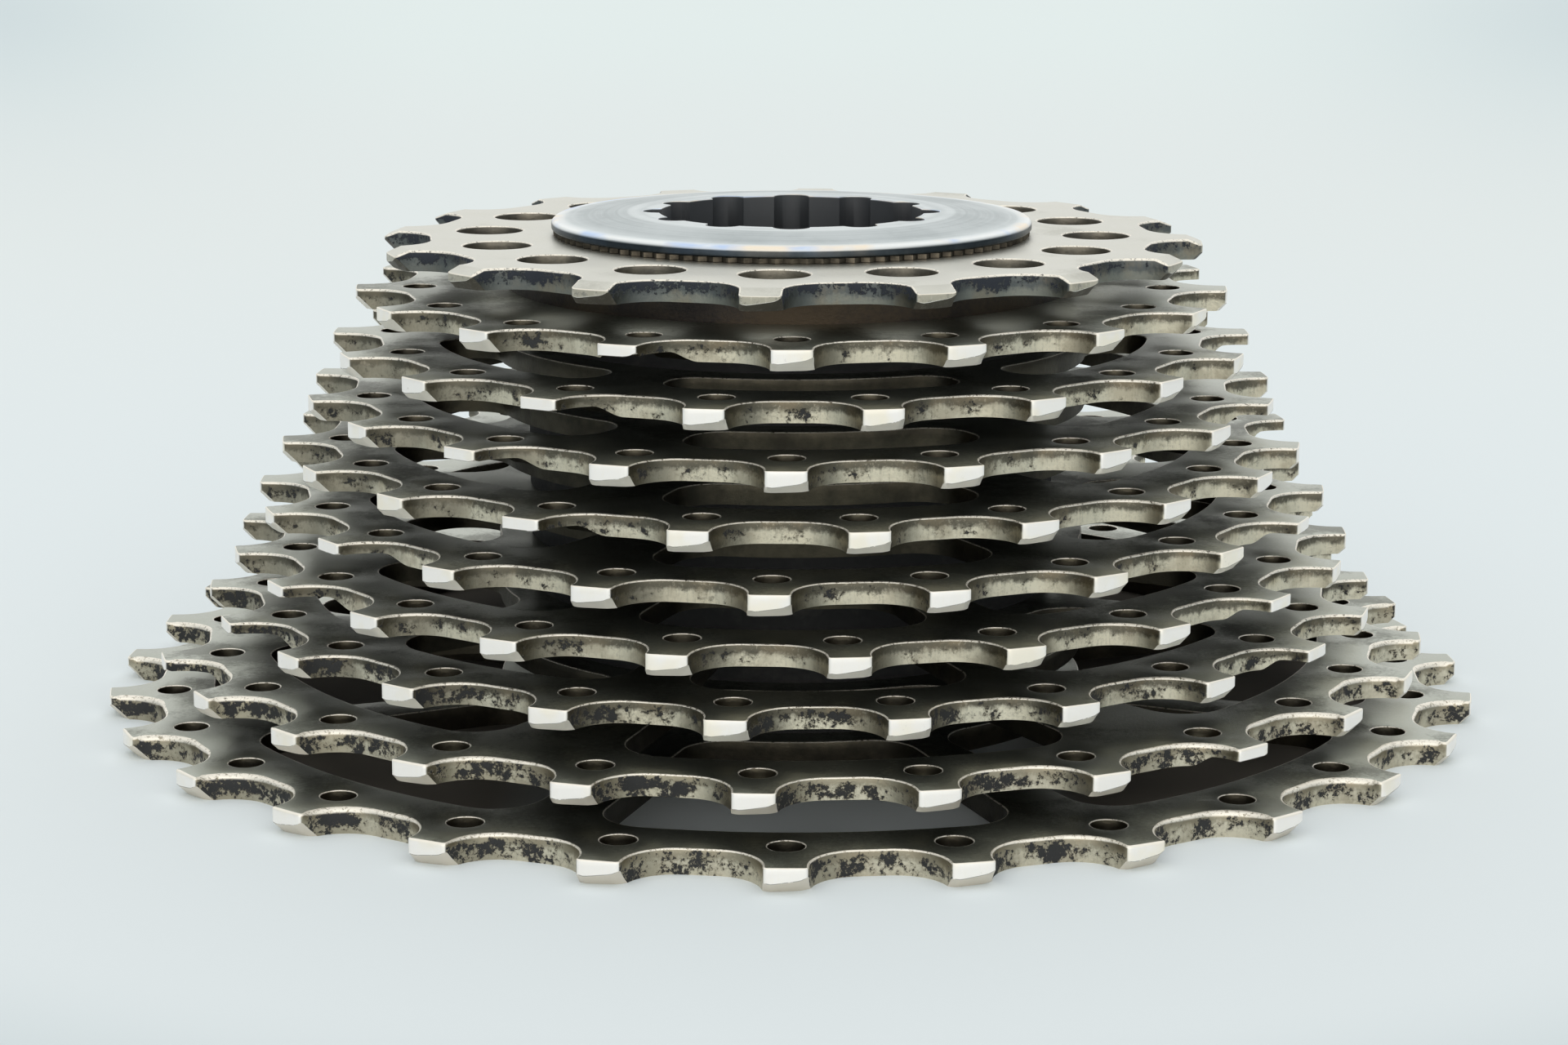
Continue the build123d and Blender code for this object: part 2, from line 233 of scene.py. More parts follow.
class Surface:
    """Collects the points and faces of one piece, then makes it an object."""

    def __init__(self) -> None:
        """Starts an empty surface."""
        self.points: list[np.ndarray] = []
        self.corners: list[np.ndarray] = []
        self.sizes: list[np.ndarray] = []
        self.smooth: list[np.ndarray] = []
        self.tags: dict[str, list[np.ndarray]] = {tag: [] for tag in TAGS}
        self.count = 0

    def add_points(self, points: np.ndarray) -> np.ndarray:
        """Adds points in millimetres.

        Args:
            points: an array that ends in x, y and z.

        Returns:
            Their numbers, in the shape of the array.
        """
        flat = points.reshape(-1, 3)
        numbers = self.count + np.arange(len(flat))
        self.points.append(flat)
        self.count += len(flat)
        return numbers.reshape(points.shape[:-1])

    def add_faces(self, faces: np.ndarray, smooth: Union[bool, np.ndarray], **tags: Any) -> None:
        """Adds faces of one size.

        Args:
            faces: the numbers of the corners, one row for each face.
            smooth: whether they are shaded smooth, for all or for each.
            tags: a value for all, or one for each corner, of each tag.
        """
        self.corners.append(faces.ravel())
        self.sizes.append(np.full(len(faces), faces.shape[1]))
        self.smooth.append(np.broadcast_to(smooth, len(faces)).astype(bool))
        for tag in TAGS:
            self.tags[tag].append(np.broadcast_to(tags.get(tag, 0.0), faces.shape).astype(np.float32).ravel())

    def add_grid(self, grid: np.ndarray, closed: bool, **tags: np.ndarray) -> None:
        """Adds the quads of a grid whose columns close on themselves.

        Args:
            grid: points by row, column and coordinate. A row runs anticlockwise, and the next one lies
                below it on a wall that faces out.
            closed: whether the last row joins the first.
            tags: a value for each point of the grid.
        """
        numbers = self.add_points(grid)
        below = np.roll(numbers, -1, axis=0)
        rows = len(numbers) if closed else len(numbers) - 1

        def quads(upper: np.ndarray, lower: np.ndarray) -> np.ndarray:
            """The four corners of each quad: upper, lower, lower right, upper right."""
            right = [np.roll(side, -1, axis=1) for side in (upper, lower)]
            return np.stack([upper, lower, right[1], right[0]], axis=-1)[:rows].reshape(-1, 4)

        corner_tags = {tag: quads(value, np.roll(value, -1, axis=0)) for tag, value in tags.items()}
        self.add_faces(quads(numbers, below), True, **corner_tags)

    def piece(self, node: str, body: Body, slot: Slot, material: bpy.types.Material) -> bpy.types.Object:
        """Makes the object that stands for a node, named after it.

        Args:
            node: the node that it replaces.
            body: the body that it rides on.
            slot: the record's slot for it; not used.
            material: its material.

        Returns:
            The object, with its place in its mesh.
        """
        name = f"{node}_finished"
        sizes, corners = np.concatenate(self.sizes), np.concatenate(self.corners)
        mesh = bpy.data.meshes.new(name)
        mesh.vertices.add(self.count)
        mesh.vertices.foreach_set("co", (np.concatenate(self.points) * MM).astype(np.float32).ravel())
        mesh.loops.add(len(corners))
        mesh.loops.foreach_set("vertex_index", corners.astype(np.int32))
        mesh.polygons.add(len(sizes))
        mesh.polygons.foreach_set("loop_start", (np.cumsum(sizes) - sizes).astype(np.int32))
        mesh.polygons.foreach_set("use_smooth", np.concatenate(self.smooth))
        mesh.update(calc_edges=True)
        for tag, values in self.tags.items():
            attribute = mesh.attributes.new(tag, "FLOAT", "CORNER")
            attribute.data.foreach_set("value", np.concatenate(values))
        mesh.set_sharp_from_angle(angle=SHARP_ANGLE)
        mesh.materials.append(material)
        thing = bpy.data.objects.new(name, mesh)
        bpy.context.scene.collection.objects.link(thing)
        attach(thing, body.value)
        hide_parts(node)
        log.info("%s: %d points, %d faces, on %s", name, self.count, len(sizes), body.value)
        return thing


def level(points: np.ndarray) -> np.ndarray:
    """A height of zero for every point."""
    return np.zeros(len(points))


@dataclass
class Slab:
    """A flat piece with upright walls, broken upper edges and faces that may be cut away near the edge.

    Attributes:
        bottom: height of its underside.
        top: height of its upper face.
        loops: its outside and its holes.
        relief: how far the underside lies above the bottom, at each point.
        extra: more points of the underside.
        dip: how far the upper face lies below the top, at each point.
        folds: pairs of point numbers in the first loop that a fold of the upper face joins.
    """

    bottom: float
    top: float
    loops: list[Loop]
    relief: Callable[[np.ndarray], np.ndarray] = level
    extra: np.ndarray = field(default_factory=lambda: NO_POINTS)
    dip: Callable[[np.ndarray], np.ndarray] = level
    folds: np.ndarray = field(default_factory=lambda: NO_PAIRS)

    def build(self, surface: Surface) -> None:
        """Adds the walls, then both faces.

        Args:
            surface: where they go.
        """
        upper, lower = [], []
        for loop in self.loops:
            rings = self.walls(surface, loop)
            upper.append((loop.points - loop.break_width[:, None] * loop.outward(), rings[0]))
            lower.append((loop.points, rings[-1]))
        self.cap(surface, upper, self.folds, None)
        self.cap(surface, lower, NO_PAIRS, self.extra)

    def walls(self, surface: Surface, loop: Loop) -> np.ndarray:
        """One wall: an upper edge broken in a quarter round, then straight down to the underside.

        Ring k of the edge lies w (1 - sin a) inside the loop and h (1 - cos a) below the face, with a from 0
        to 90 degrees and h a share of w. Below it the wall goes down in even steps. Its tag flank is 1 where
        an outer wall faces along the turn from -Y to +X, and -1 where it faces back.

        Args:
            surface: where it goes.
            loop: the line that it stands on.

        Returns:
            The numbers of its points, one row for each ring.
        """
        width, outward = loop.break_width, loop.outward()
        face = self.top - self.dip(loop.points)
        foot = self.bottom + self.relief(loop.points)
        bend = np.radians([0.0, 30.0, 60.0, 90.0])[:, None]
        drop = np.array([1.0, 2.0, 3.0])[:, None] / 3
        inset = np.concatenate([width * (1 - np.sin(bend)), np.zeros((len(drop), len(width)))])
        depth = BREAK_DEPTH * width
        shoulder = face - depth
        height = np.concatenate([face - depth * (1 - np.cos(bend)), shoulder + drop * (foot - shoulder)])
        plan = loop.points - inset[:, :, None] * outward
        grid = np.concatenate([plan, height[:, :, None]], axis=-1)
        edge = np.zeros_like(height)
        edge[:len(bend)] = np.array([1.0, 1.0, 1.0, 0.35])[:, None]
        edge[-1] = -loop.tip
        start = surface.count
        across = loop.points[:, 0] * outward[:, 1] - loop.points[:, 1] * outward[:, 0]
        flank = loop.outer * across / np.hypot(*loop.points.T)
        surface.add_grid(grid, False, outer=np.full_like(height, loop.outer), edge=edge,
                         flank=np.broadcast_to(flank, height.shape),
                         height=(height - self.bottom) / (self.top - self.bottom),
                         tip=np.broadcast_to(loop.tip, height.shape))
        return start + np.arange(height.size).reshape(height.shape)

    def cap(self, surface: Surface, rims: list[tuple[np.ndarray, np.ndarray]], folds: np.ndarray,
            extra: Optional[np.ndarray]) -> None:
        """One face: a triangulation between the rims, of which the triangles in the metal are kept.

        Args:
            surface: where it goes.
            rims: for each loop its points in the plane and their numbers.
            folds: pairs of points of the first rim that an edge has to join.
            extra: more points of the underside, or None for the upper face.
        """
        underside = extra is not None
        plan = np.concatenate([points for points, _ in rims])
        numbers = np.concatenate([ring for _, ring in rims])
        starts = np.cumsum([0] + [len(points) for points, _ in rims])
        edges = [np.stack([first + np.arange(size), first + (np.arange(size) + 1) % size], axis=-1)
                 for first, size in zip(starts[:-1], np.diff(starts))]
        edges = np.concatenate(edges + [folds]).tolist()
        if underside and len(extra):
            height = self.bottom + self.relief(extra)
            numbers = np.concatenate([numbers, surface.add_points(np.column_stack([extra, height]))])
            plan = np.concatenate([plan, extra])
        result = delaunay_2d_cdt(plan.tolist(), edges, [], 0, 1e-6)
        placed = np.array(result[0])
        source = np.array([same[0] if same else -1 for same in result[3]])
        triangles = np.array(result[2])
        middle = placed[triangles].mean(axis=1)
        keep = inside(middle, [Loop(points) for points, _ in rims]) & (source[triangles] >= 0).all(axis=1)
        triangles, middle = source[triangles[keep]], middle[keep]
        if underside:
            bevelled = self.bevelled(middle)[:, None]
            lifted = self.relief(plan)[triangles].max(axis=1) > FLAT
            surface.add_faces(numbers[triangles[:, ::-1]], lifted, tip=bevelled, outer=bevelled, height=0.1)
        else:
            surface.add_faces(numbers[triangles], False, height=1.0)

    def bevelled(self, points: np.ndarray) -> np.ndarray:
        """Which points of the underside lie on the bevel of a tooth's tip: none, on a plain slab."""
        return np.zeros(len(points), bool)


# ---------------------------------------------------------------- sprockets and spacers

@dataclass(frozen=True)
class Spline:
    """The bore that slides on the freehub body: a circle of grooves, less nine tabs.

    Attributes:
        groove_radius: radius of the grooves.
        tab_radius: radius at which the tabs end.
        tab_width: width of a tab.
        index_width: width of the one narrow tab, at -Y.
        count: how many tabs there are.
    """

    groove_radius: float = 17.45
    tab_radius: float = 16.35
    tab_width: float = 4.8
    index_width: float = 3.4
    count: int = 9

    def loop(self) -> Loop:
        """Its line: for each tab the arc of its end, then the arc of the groove beside it, run clockwise.

        Returns:
            The hole.
        """
        width = np.full(self.count, self.tab_width)
        width[0] = self.index_width
        pitch = 360 / self.count
        end = np.degrees(np.arcsin(width / 2 / self.tab_radius))
        side = np.degrees(np.arcsin(width / 2 / self.groove_radius))
        share = np.linspace(0, 1, 7)
        middle = np.arange(self.count)[:, None] * pitch
        tabs = polar(self.tab_radius, middle + end[:, None] * (2 * share[[0, 2, 4, 6]] - 1))
        start, stop = middle + side[:, None], middle + pitch - np.roll(side, -1)[:, None]
        grooves = polar(self.groove_radius, start + (stop - start) * share)
        return Loop(np.concatenate([tabs, grooves], axis=1).reshape(-1, 2)[::-1].copy(), 0.15)


@dataclass(frozen=True)
class ToothForm:
    """What all sprockets share: the teeth, the windows, the small holes and the shift gates."""

    chain_pitch: float = 12.7
    roller: float = 7.75            # diameter of the chain's rollers
    height: float = 3.9             # of a tooth, over the valleys
    tip_width: float = 3.1
    corner: float = 0.3             # radius of a tip's corners
    valley: float = 3.6             # radius of a valley's sides
    bevel_low: float = 0.3          # height of the bevel under a tip, at its left side
    bevel_high: float = 0.75        # and at its right side
    bevel_round: float = 0.4        # how much higher it is at the corners
    hole_radius: float = 1.3
    hole_inset: float = 5.0         # of the holes' circle, from the pitch circle
    hole_lip: float = 0.09
    window_inner: float = 23.5      # radius of the windows' inner edge
    window_rim: float = 8.2         # from their outer edge to the pitch circle
    window_corner: float = 3.5
    gates: int = 3
    gate_radius: float = 6.5
    gate_outset: float = 1.5        # from the tips to a cutter's centre
    gate_shift: float = 1.5         # from a tooth's middle to that centre, sideways
    gate_depth: float = 0.75
    gate_run: float = 1.6           # width of the run-in
    gate_margin: float = 0.25       # from the run-in's points to the plate's edges


class SprocketSlab(Slab):
    """A slab whose underside is relieved at the tips of its teeth and at its gates."""

    def __init__(self, sprocket: "Sprocket", loops: list[Loop], folds: np.ndarray) -> None:
        """Takes its heights and its relief from its sprocket."""
        extra = np.concatenate([sprocket.bevel_points(), sprocket.gate_points(loops)])
        super().__init__(sprocket.bottom, sprocket.top, loops, sprocket.relief, extra, sprocket.dip, folds)
        self.sprocket = sprocket

    def bevelled(self, points: np.ndarray) -> np.ndarray:
        """Which points of the underside lie on the bevel of a tooth's tip."""
        bevel = self.sprocket.bevel(points)
        return (bevel > FLAT) & (bevel >= self.sprocket.gate_relief(points))


def with_crossings(rows: np.ndarray, value: np.ndarray) -> tuple[np.ndarray, np.ndarray]:
    """Puts in a row wherever a value changes sign from one row to the next, by its share of the step.

    Args:
        rows: the rows.
        value: a value for each row.

    Returns:
        The longer table, and the numbers of the new rows.
    """
    places = np.flatnonzero((value[:-1] > 0) != (value[1:] > 0))
    share = (value[places] / (value[places] - value[places + 1]))[:, None]
    between = rows[places] + share * (rows[places + 1] - rows[places])
    return np.insert(rows, places + 1, between, axis=0), places + 1 + np.arange(len(places))


@dataclass
class Sprocket:
    """One plate of the stack.

    Attributes:
        teeth: how many teeth it has.
        tooth_angle: angle of its front tooth.
        windows: how many windows it has.
        spoke: angle of the metal between two windows.
        window_angle: angle of one window's middle.
        gate_tooth: number of the tooth at its first gate, or None.
        bevel_rise: how much higher the bevels under its tips are than usual.
        edge_break: width of the broken upper edge.
        side_break: its width on the flanks at both sides that face the front.
        form: the sizes that it shares with the others.
        bore: its splined bore.
    """

    teeth: int
    tooth_angle: float
    windows: int = 0
    spoke: float = 0.0
    window_angle: float = 0.0
    gate_tooth: Optional[int] = None
    bevel_rise: float = 0.0
    edge_break: float = 0.12
    side_break: float = 0.24
    form: ToothForm = ToothForm()
    bore: Spline = Spline()

    def __post_init__(self) -> None:
        """Works out its radii and reads its heights."""
        self.node = f"sprocket_{self.teeth}"
        self.bottom, self.top = heights(self.node)
        self.pitch_radius = self.form.chain_pitch / 2 / sin(pi / self.teeth)
        self.root = self.pitch_radius - self.form.roller / 2
        self.tip = self.root + self.form.height

    def tooth_angles(self) -> np.ndarray:
        """The angle of each tooth, in degrees."""
        return self.tooth_angle + np.arange(self.teeth) * 360 / self.teeth

    def half_tooth(self) -> tuple[np.ndarray, np.ndarray]:
        """From the middle of a tip to the middle of the next valley, x across and y along the tooth.

        The tip is an arc about the axis, its corner an arc of the corner radius, then comes a straight flank,
        an arc of the valley radius and half of the valley's flat floor.

        Returns:
            The points, and how much each belongs to the tip's land.
        """
        form, half_step = self.form, pi / self.teeth
        half = form.tip_width / 2
        reach = self.tip - form.corner
        corner = (half - form.corner, sqrt(reach ** 2 - (half - form.corner) ** 2))
        corner_turn = degrees(asin(corner[0] / reach))
        centre_along = self.root + form.valley
        centre_across = (centre_along * sin(half_step) - half - form.valley) / cos(half_step)
        valley = (half + form.valley, centre_across * sin(half_step) + centre_along * cos(half_step))
        land = arc((0, 0), self.tip, 0, corner_turn, 5)
        bend = arc(corner, form.corner, corner_turn, 90, 4)[1:]
        bowl = arc(valley, form.valley, 270, 180 + degrees(half_step), 18)
        middle = self.root * np.array([sin(half_step), cos(half_step)])
        floor = bowl[-1] + np.linspace(0, 1, 4)[1:, None] * (middle - bowl[-1])
        points = np.concatenate([land, bend, bowl, floor])
        tip = np.zeros(len(points))
        tip[:len(land)] = 1.0
        tip[len(land):len(land) + len(bend)] = [0.9, 0.6, 0.3, 0.0]
        return points, tip

    def bevel_height(self, across: np.ndarray, along: np.ndarray) -> np.ndarray:
        """Height of the tip's bevel: its middle height, plus its slope across, less the way from the tip.

        Towards both corners it rises by the sixth power of the distance across, which rounds the land's foot.

        Args:
            across: distances to the right of the tooth's middle.
            along: distances from the axis along it.

        Returns:
            A height over the underside for each, below zero where there is no bevel.
        """
        form = self.form
        slope = (form.bevel_high - form.bevel_low) / form.tip_width
        middle = (form.bevel_high + form.bevel_low) / 2 + self.bevel_rise
        corner = np.minimum(np.abs(across) / form.tip_width * 2, 1.0) ** 6
        return middle + slope * across + form.bevel_round * corner - (self.tip - along)

    def bevel_points(self) -> np.ndarray:
        """Points on the line under each tip where the bevel meets the underside, clear of the flanks."""
        across = np.linspace(-0.9, 0.9, 9) * self.form.tip_width / 2
        along = self.tip - self.bevel_height(across, np.full(across.size, self.tip))
        return to_place(across, along, self.tooth_angles()[:, None]).reshape(-1, 2)

    def slope_start(self, along: np.ndarray) -> np.ndarray:
        """A value that changes sign where the upper face starts to slope to a tip: never, on most plates."""
        return np.ones(len(along))

    def dip(self, points: np.ndarray) -> np.ndarray:
        """How far the upper face lies below the top: nowhere, on most plates."""
        return level(points)

    def outline(self) -> tuple[Loop, np.ndarray]:
        """The toothed outline: one tooth, its mirror image before it, turned to every tooth's place.

        A point is put in where the bevel under the tip starts, and where the upper face starts to slope.

        Returns:
            The outline, and the pairs of points that the folds of the upper face join.
        """
        right, right_tip = self.half_tooth()
        tooth = np.concatenate([right[:0:-1] * [-1, 1], right])[:-1]
        tip = np.concatenate([right_tip[:0:-1], right_tip])[:-1]
        rows = np.column_stack([tooth, tip])
        rows, _ = with_crossings(rows, self.bevel_height(rows[:, 0], rows[:, 1]))
        rows, fold = with_crossings(rows, self.slope_start(rows[:, 1]))
        points = to_place(rows[:, 0], rows[:, 1], self.tooth_angles()[:, None])
        loop = Loop(points.reshape(-1, 2), self.edge_break, np.tile(rows[:, 2], self.teeth), 1.0)
        loop.break_width = self.broken(loop, np.tile(rows[:, 1], self.teeth))
        return loop, (np.arange(self.teeth)[:, None] * len(rows) + fold).reshape(-1, 2)

    def broken(self, loop: Loop, along: np.ndarray) -> np.ndarray:
        """Widths of the broken edge: wider on flanks at both sides that face the front, narrower on lands.

        Near a tooth's corners it stays under a share of their radius, so that its line doesn't cross itself.

        Args:
            loop: the outline.
            along: each corner's distance from the axis along its own tooth.

        Returns:
            A width for each corner of the outline.
        """
        corner = self.form.corner
        facing = np.clip(-loop.outward()[:, 1], 0, 1) * np.abs(loop.points[:, 0]) / self.tip
        width = loop.break_width + (self.side_break - self.edge_break) * np.clip(2.5 * facing - 0.4, 0, 1)
        width = width * (1 - 0.4 * loop.tip)
        return np.where(along > self.tip - 2 * corner, np.minimum(width, 0.75 * corner), width)

    def offsets(self, points: np.ndarray) -> tuple[np.ndarray, np.ndarray]:
        """Each point's distances across and along the tooth nearest to it."""
        angle = np.degrees(np.arctan2(points[:, 0], -points[:, 1])) - self.tooth_angle
        offset = from_nearest(angle, self.teeth)
        radius = np.hypot(points[:, 0], points[:, 1])
        return radius * np.sin(offset), radius * np.cos(offset)

    def bevel(self, points: np.ndarray) -> np.ndarray:
        """How far the tips' bevels lift the underside."""
        across, along = self.offsets(points)
        return np.where(along > self.root + 1, np.maximum(self.bevel_height(across, along), 0), 0)

    def gate_centres(self) -> np.ndarray:
        """Where the round cutters of the gates stand, just outside the teeth.

        Returns:
            x and y of each, or none on a plate without gates.
        """
        form = self.form
        if self.gate_tooth is None:
            return NO_POINTS
        radius = self.tip + form.gate_outset
        tooth = self.gate_tooth + np.round(self.teeth * np.arange(form.gates) / form.gates)
        return polar(radius, self.tooth_angle + 360 / self.teeth * tooth + degrees(form.gate_shift / radius))

    def gate_relief(self, points: np.ndarray) -> np.ndarray:
        """How far the gates lift the underside: an S-shaped run-in from a cutter's rim, then all of it.

        Args:
            points: points of the underside.

        Returns:
            A lift for each.
        """
        lift = np.zeros(len(points))
        for centre in self.gate_centres():
            inward = self.form.gate_radius - np.hypot(*(points - centre).T)
            share = np.clip(inward / self.form.gate_run, 0, 1)
            lift = np.maximum(lift, self.form.gate_depth * share ** 2 * (3 - 2 * share))
        return lift

    def relief(self, points: np.ndarray) -> np.ndarray:
        """The larger of the tips' bevels and the gates' run-ins."""
        return np.maximum(self.bevel(points), self.gate_relief(points))

    def gate_points(self, loops: list[Loop]) -> np.ndarray:
        """Rings of points about each gate, where they lie in the metal and clear of its edges.

        Args:
            loops: the plate's loops.

        Returns:
            The points.
        """
        centres = self.gate_centres()
        if not len(centres):
            return NO_POINTS
        radius = self.form.gate_radius - np.linspace(0, self.form.gate_run, 6)
        ring = circle(radius[:, None], 72).reshape(-1, 2)
        points = (centres[:, None, :] + ring).reshape(-1, 2)
        edges = np.concatenate([loop.points for loop in loops])
        gap = np.array([np.hypot(*(edges - point).T).min() for point in points])
        return points[inside(points, loops) & (gap > self.form.gate_margin)]

    def window_loops(self) -> list[Loop]:
        """The windows: an outer and an inner arc about the axis, radial sides and four rounded corners.

        A corner's centre lies its radius inside the arc, and turned back from the radial side by
        asin(corner radius / distance from the axis), so that it touches both.

        Returns:
            The windows, run clockwise.
        """
        if not self.windows:
            return []
        form = self.form
        inner, outer = form.window_inner, self.pitch_radius - form.window_rim
        half = (360 / self.windows - self.spoke) / 2
        corner = min(form.window_corner, 0.9 * (outer - inner) / 2)
        low, high = inner + corner, outer - corner
        low_turn, high_turn = degrees(asin(corner / low)), degrees(asin(corner / high))
        outer_arc = polar(outer, np.linspace(-(half - high_turn), half - high_turn, 16))
        high_arc = polar(high, np.array([half - high_turn])) + corner * polar(
            1.0, np.linspace(half - high_turn, half + 90, 10))[1:]
        low_arc = polar(low, np.array([half - low_turn])) + corner * polar(
            1.0, np.linspace(half + 90, half - low_turn + 180, 10))[:-1]
        inner_arc = polar(inner, np.linspace(half - low_turn, -(half - low_turn), 14))
        left = np.concatenate([high_arc, low_arc])[::-1] * [-1, 1]
        loop = np.concatenate([outer_arc[8:], high_arc, low_arc, inner_arc, left, outer_arc[:8]])
        turn = np.radians(self.window_angle + 360 / self.windows * np.arange(self.windows))
        loops = []
        for angle in turn:
            spun = np.stack([loop[:, 0] * cos(angle) - loop[:, 1] * sin(angle),
                             loop[:, 0] * sin(angle) + loop[:, 1] * cos(angle)], axis=-1)
            loops.append(Loop(spun[::-1].copy(), 0.1))
        return loops

    def hole_loops(self) -> list[Loop]:
        """The small holes, one behind each tooth."""
        centres = polar(self.pitch_radius - self.form.hole_inset, self.tooth_angles())
        return [circle_hole(centre, self.form.hole_radius, 36, self.form.hole_lip) for centre in centres]

    def surface(self) -> Surface:
        """The whole plate."""
        outline, folds = self.outline()
        loops = [outline, self.bore.loop()] + self.window_loops() + self.hole_loops()
        surface = Surface()
        SprocketSlab(self, loops, folds).build(surface)
        return surface


@dataclass
class FirstSprocket(Sprocket):
    """The smallest sprocket: larger holes, and a spacing boss in one piece with it.

    Attributes:
        big_hole: radius of its holes.
        hole_circle: radius of the circle that they stand on.
        hole_lead: how far they are turned from the teeth, in degrees.
        hole_break: width of their broken edges.
        boss_radius: outer radius of the boss.
        boss_height: how far the boss reaches below the plate.
        boss_sunk: how far it reaches into the plate.
        tip_drop: how far the upper face slopes down to a tip.
        tip_run: over which length it does.
    """

    big_hole: float = 2.65
    hole_circle: float = 24.2
    hole_lead: float = 1.0
    hole_break: float = 0.14
    boss_radius: float = 22.6
    boss_height: float = 2.35
    boss_sunk: float = 0.05
    tip_drop: float = 0.45
    tip_run: float = 1.2

    def __post_init__(self) -> None:
        """Takes the boss off the height of the node, so that the bottom is the plate's."""
        super().__post_init__()
        self.boss_bottom = self.bottom
        self.bottom += self.boss_height

    def slope_start(self, along: np.ndarray) -> np.ndarray:
        """A value that changes sign where the upper face starts to slope down to a tip."""
        return self.tip_run - (self.tip - along)

    def dip(self, points: np.ndarray) -> np.ndarray:
        """How far the upper face lies below the top: its drop, times the share of the run behind a point."""
        _, along = self.offsets(points)
        return self.tip_drop * np.clip(self.slope_start(along) / self.tip_run, 0, 1)

    def hole_loops(self) -> list[Loop]:
        """The larger holes."""
        centres = polar(self.hole_circle, self.tooth_angles() + self.hole_lead)
        return [circle_hole(centre, self.big_hole, 56, self.hole_break) for centre in centres]

    def surface(self) -> Surface:
        """The plate, and the boss that reaches a little way into it.

        Returns:
            The surface of both.
        """
        surface = super().surface()
        boss = [Loop(circle(self.boss_radius), 0.02, outer=0.5), self.bore.loop()]
        Slab(self.boss_bottom, self.bottom + self.boss_sunk, boss).build(surface)
        return surface


@dataclass
class Spacer:
    """The plastic ring between two plates.

    Attributes:
        below: teeth of the plate under it.
        above: teeth of the plate on it.
        radius: its outer radius.
        edge_break: width of its broken upper edge.
        bore: its splined bore.
    """

    below: int
    above: int
    radius: float = 21.0
    edge_break: float = 0.2
    bore: Spline = Spline()

    def __post_init__(self) -> None:
        """Reads its heights."""
        self.node = f"spacer_{self.below}_{self.above}"
        self.bottom, self.top = heights(self.node)

    def surface(self) -> Surface:
        """The ring: a circle less the bore."""
        surface = Surface()
        ring = Loop(circle(self.radius), self.edge_break, outer=1.0)
        Slab(self.bottom, self.top, [ring, self.bore.loop()]).build(surface)
        return surface


# ---------------------------------------------------------------- turned pieces

def revolve(angle: np.ndarray, section: list[tuple], tags: tuple[str, ...]) -> Surface:
    """A closed section carried round the axis.

    Args:
        angle: the angles of its columns, in degrees.
        section: for each row its radius, its height and its tags. Each is one number, or one for each column.
        tags: the names of the tags.

    Returns:
        The closed ring.
    """
    radius, height, *values = (np.stack([np.broadcast_to(value, angle.shape) for value in column])
                               for column in zip(*section))
    grid = np.concatenate([polar(radius, angle), height[:, :, None]], axis=-1)
    surface = Surface()
    surface.add_grid(grid, True, **dict(zip(tags, values)))
    return surface


@dataclass
class LockWasher:
    """The thin washer under the flange, with a finely serrated edge.

    Attributes:
        radius: its outer radius.
        bore: radius of its opening.
        serrations: how many notches there are in its edge.
        depth: how deep they are.
        soft: width of its broken edges.
        node: the node that it stands for.
    """

    radius: float = 18.95
    bore: float = 15.6
    serrations: int = 100
    depth: float = 0.3
    soft: float = 0.05
    node: str = "lock_washer"

    def surface(self) -> Surface:
        """A section carried round the axis, whose outer radius steps between two values along a zigzag.

        Returns:
            The closed ring.
        """
        bottom, top = heights(self.node)
        angle = np.arange(4 * self.serrations) * 90 / self.serrations
        notch = np.abs((np.arange(angle.size) / 2 + 1) % 2 - 1)
        rim, inner, soft = self.radius - self.depth * notch, self.bore, self.soft
        section = [(inner + soft, top, 0.0), (rim - 2 * soft, top, notch), (rim, top - soft, notch),
                   (rim, bottom + soft, notch), (rim - soft, bottom, notch), (inner + soft, bottom, 0.0),
                   (inner, bottom + soft, 0.0), (inner, top - soft, 0.0)]
        return revolve(angle, section, ("tip",))


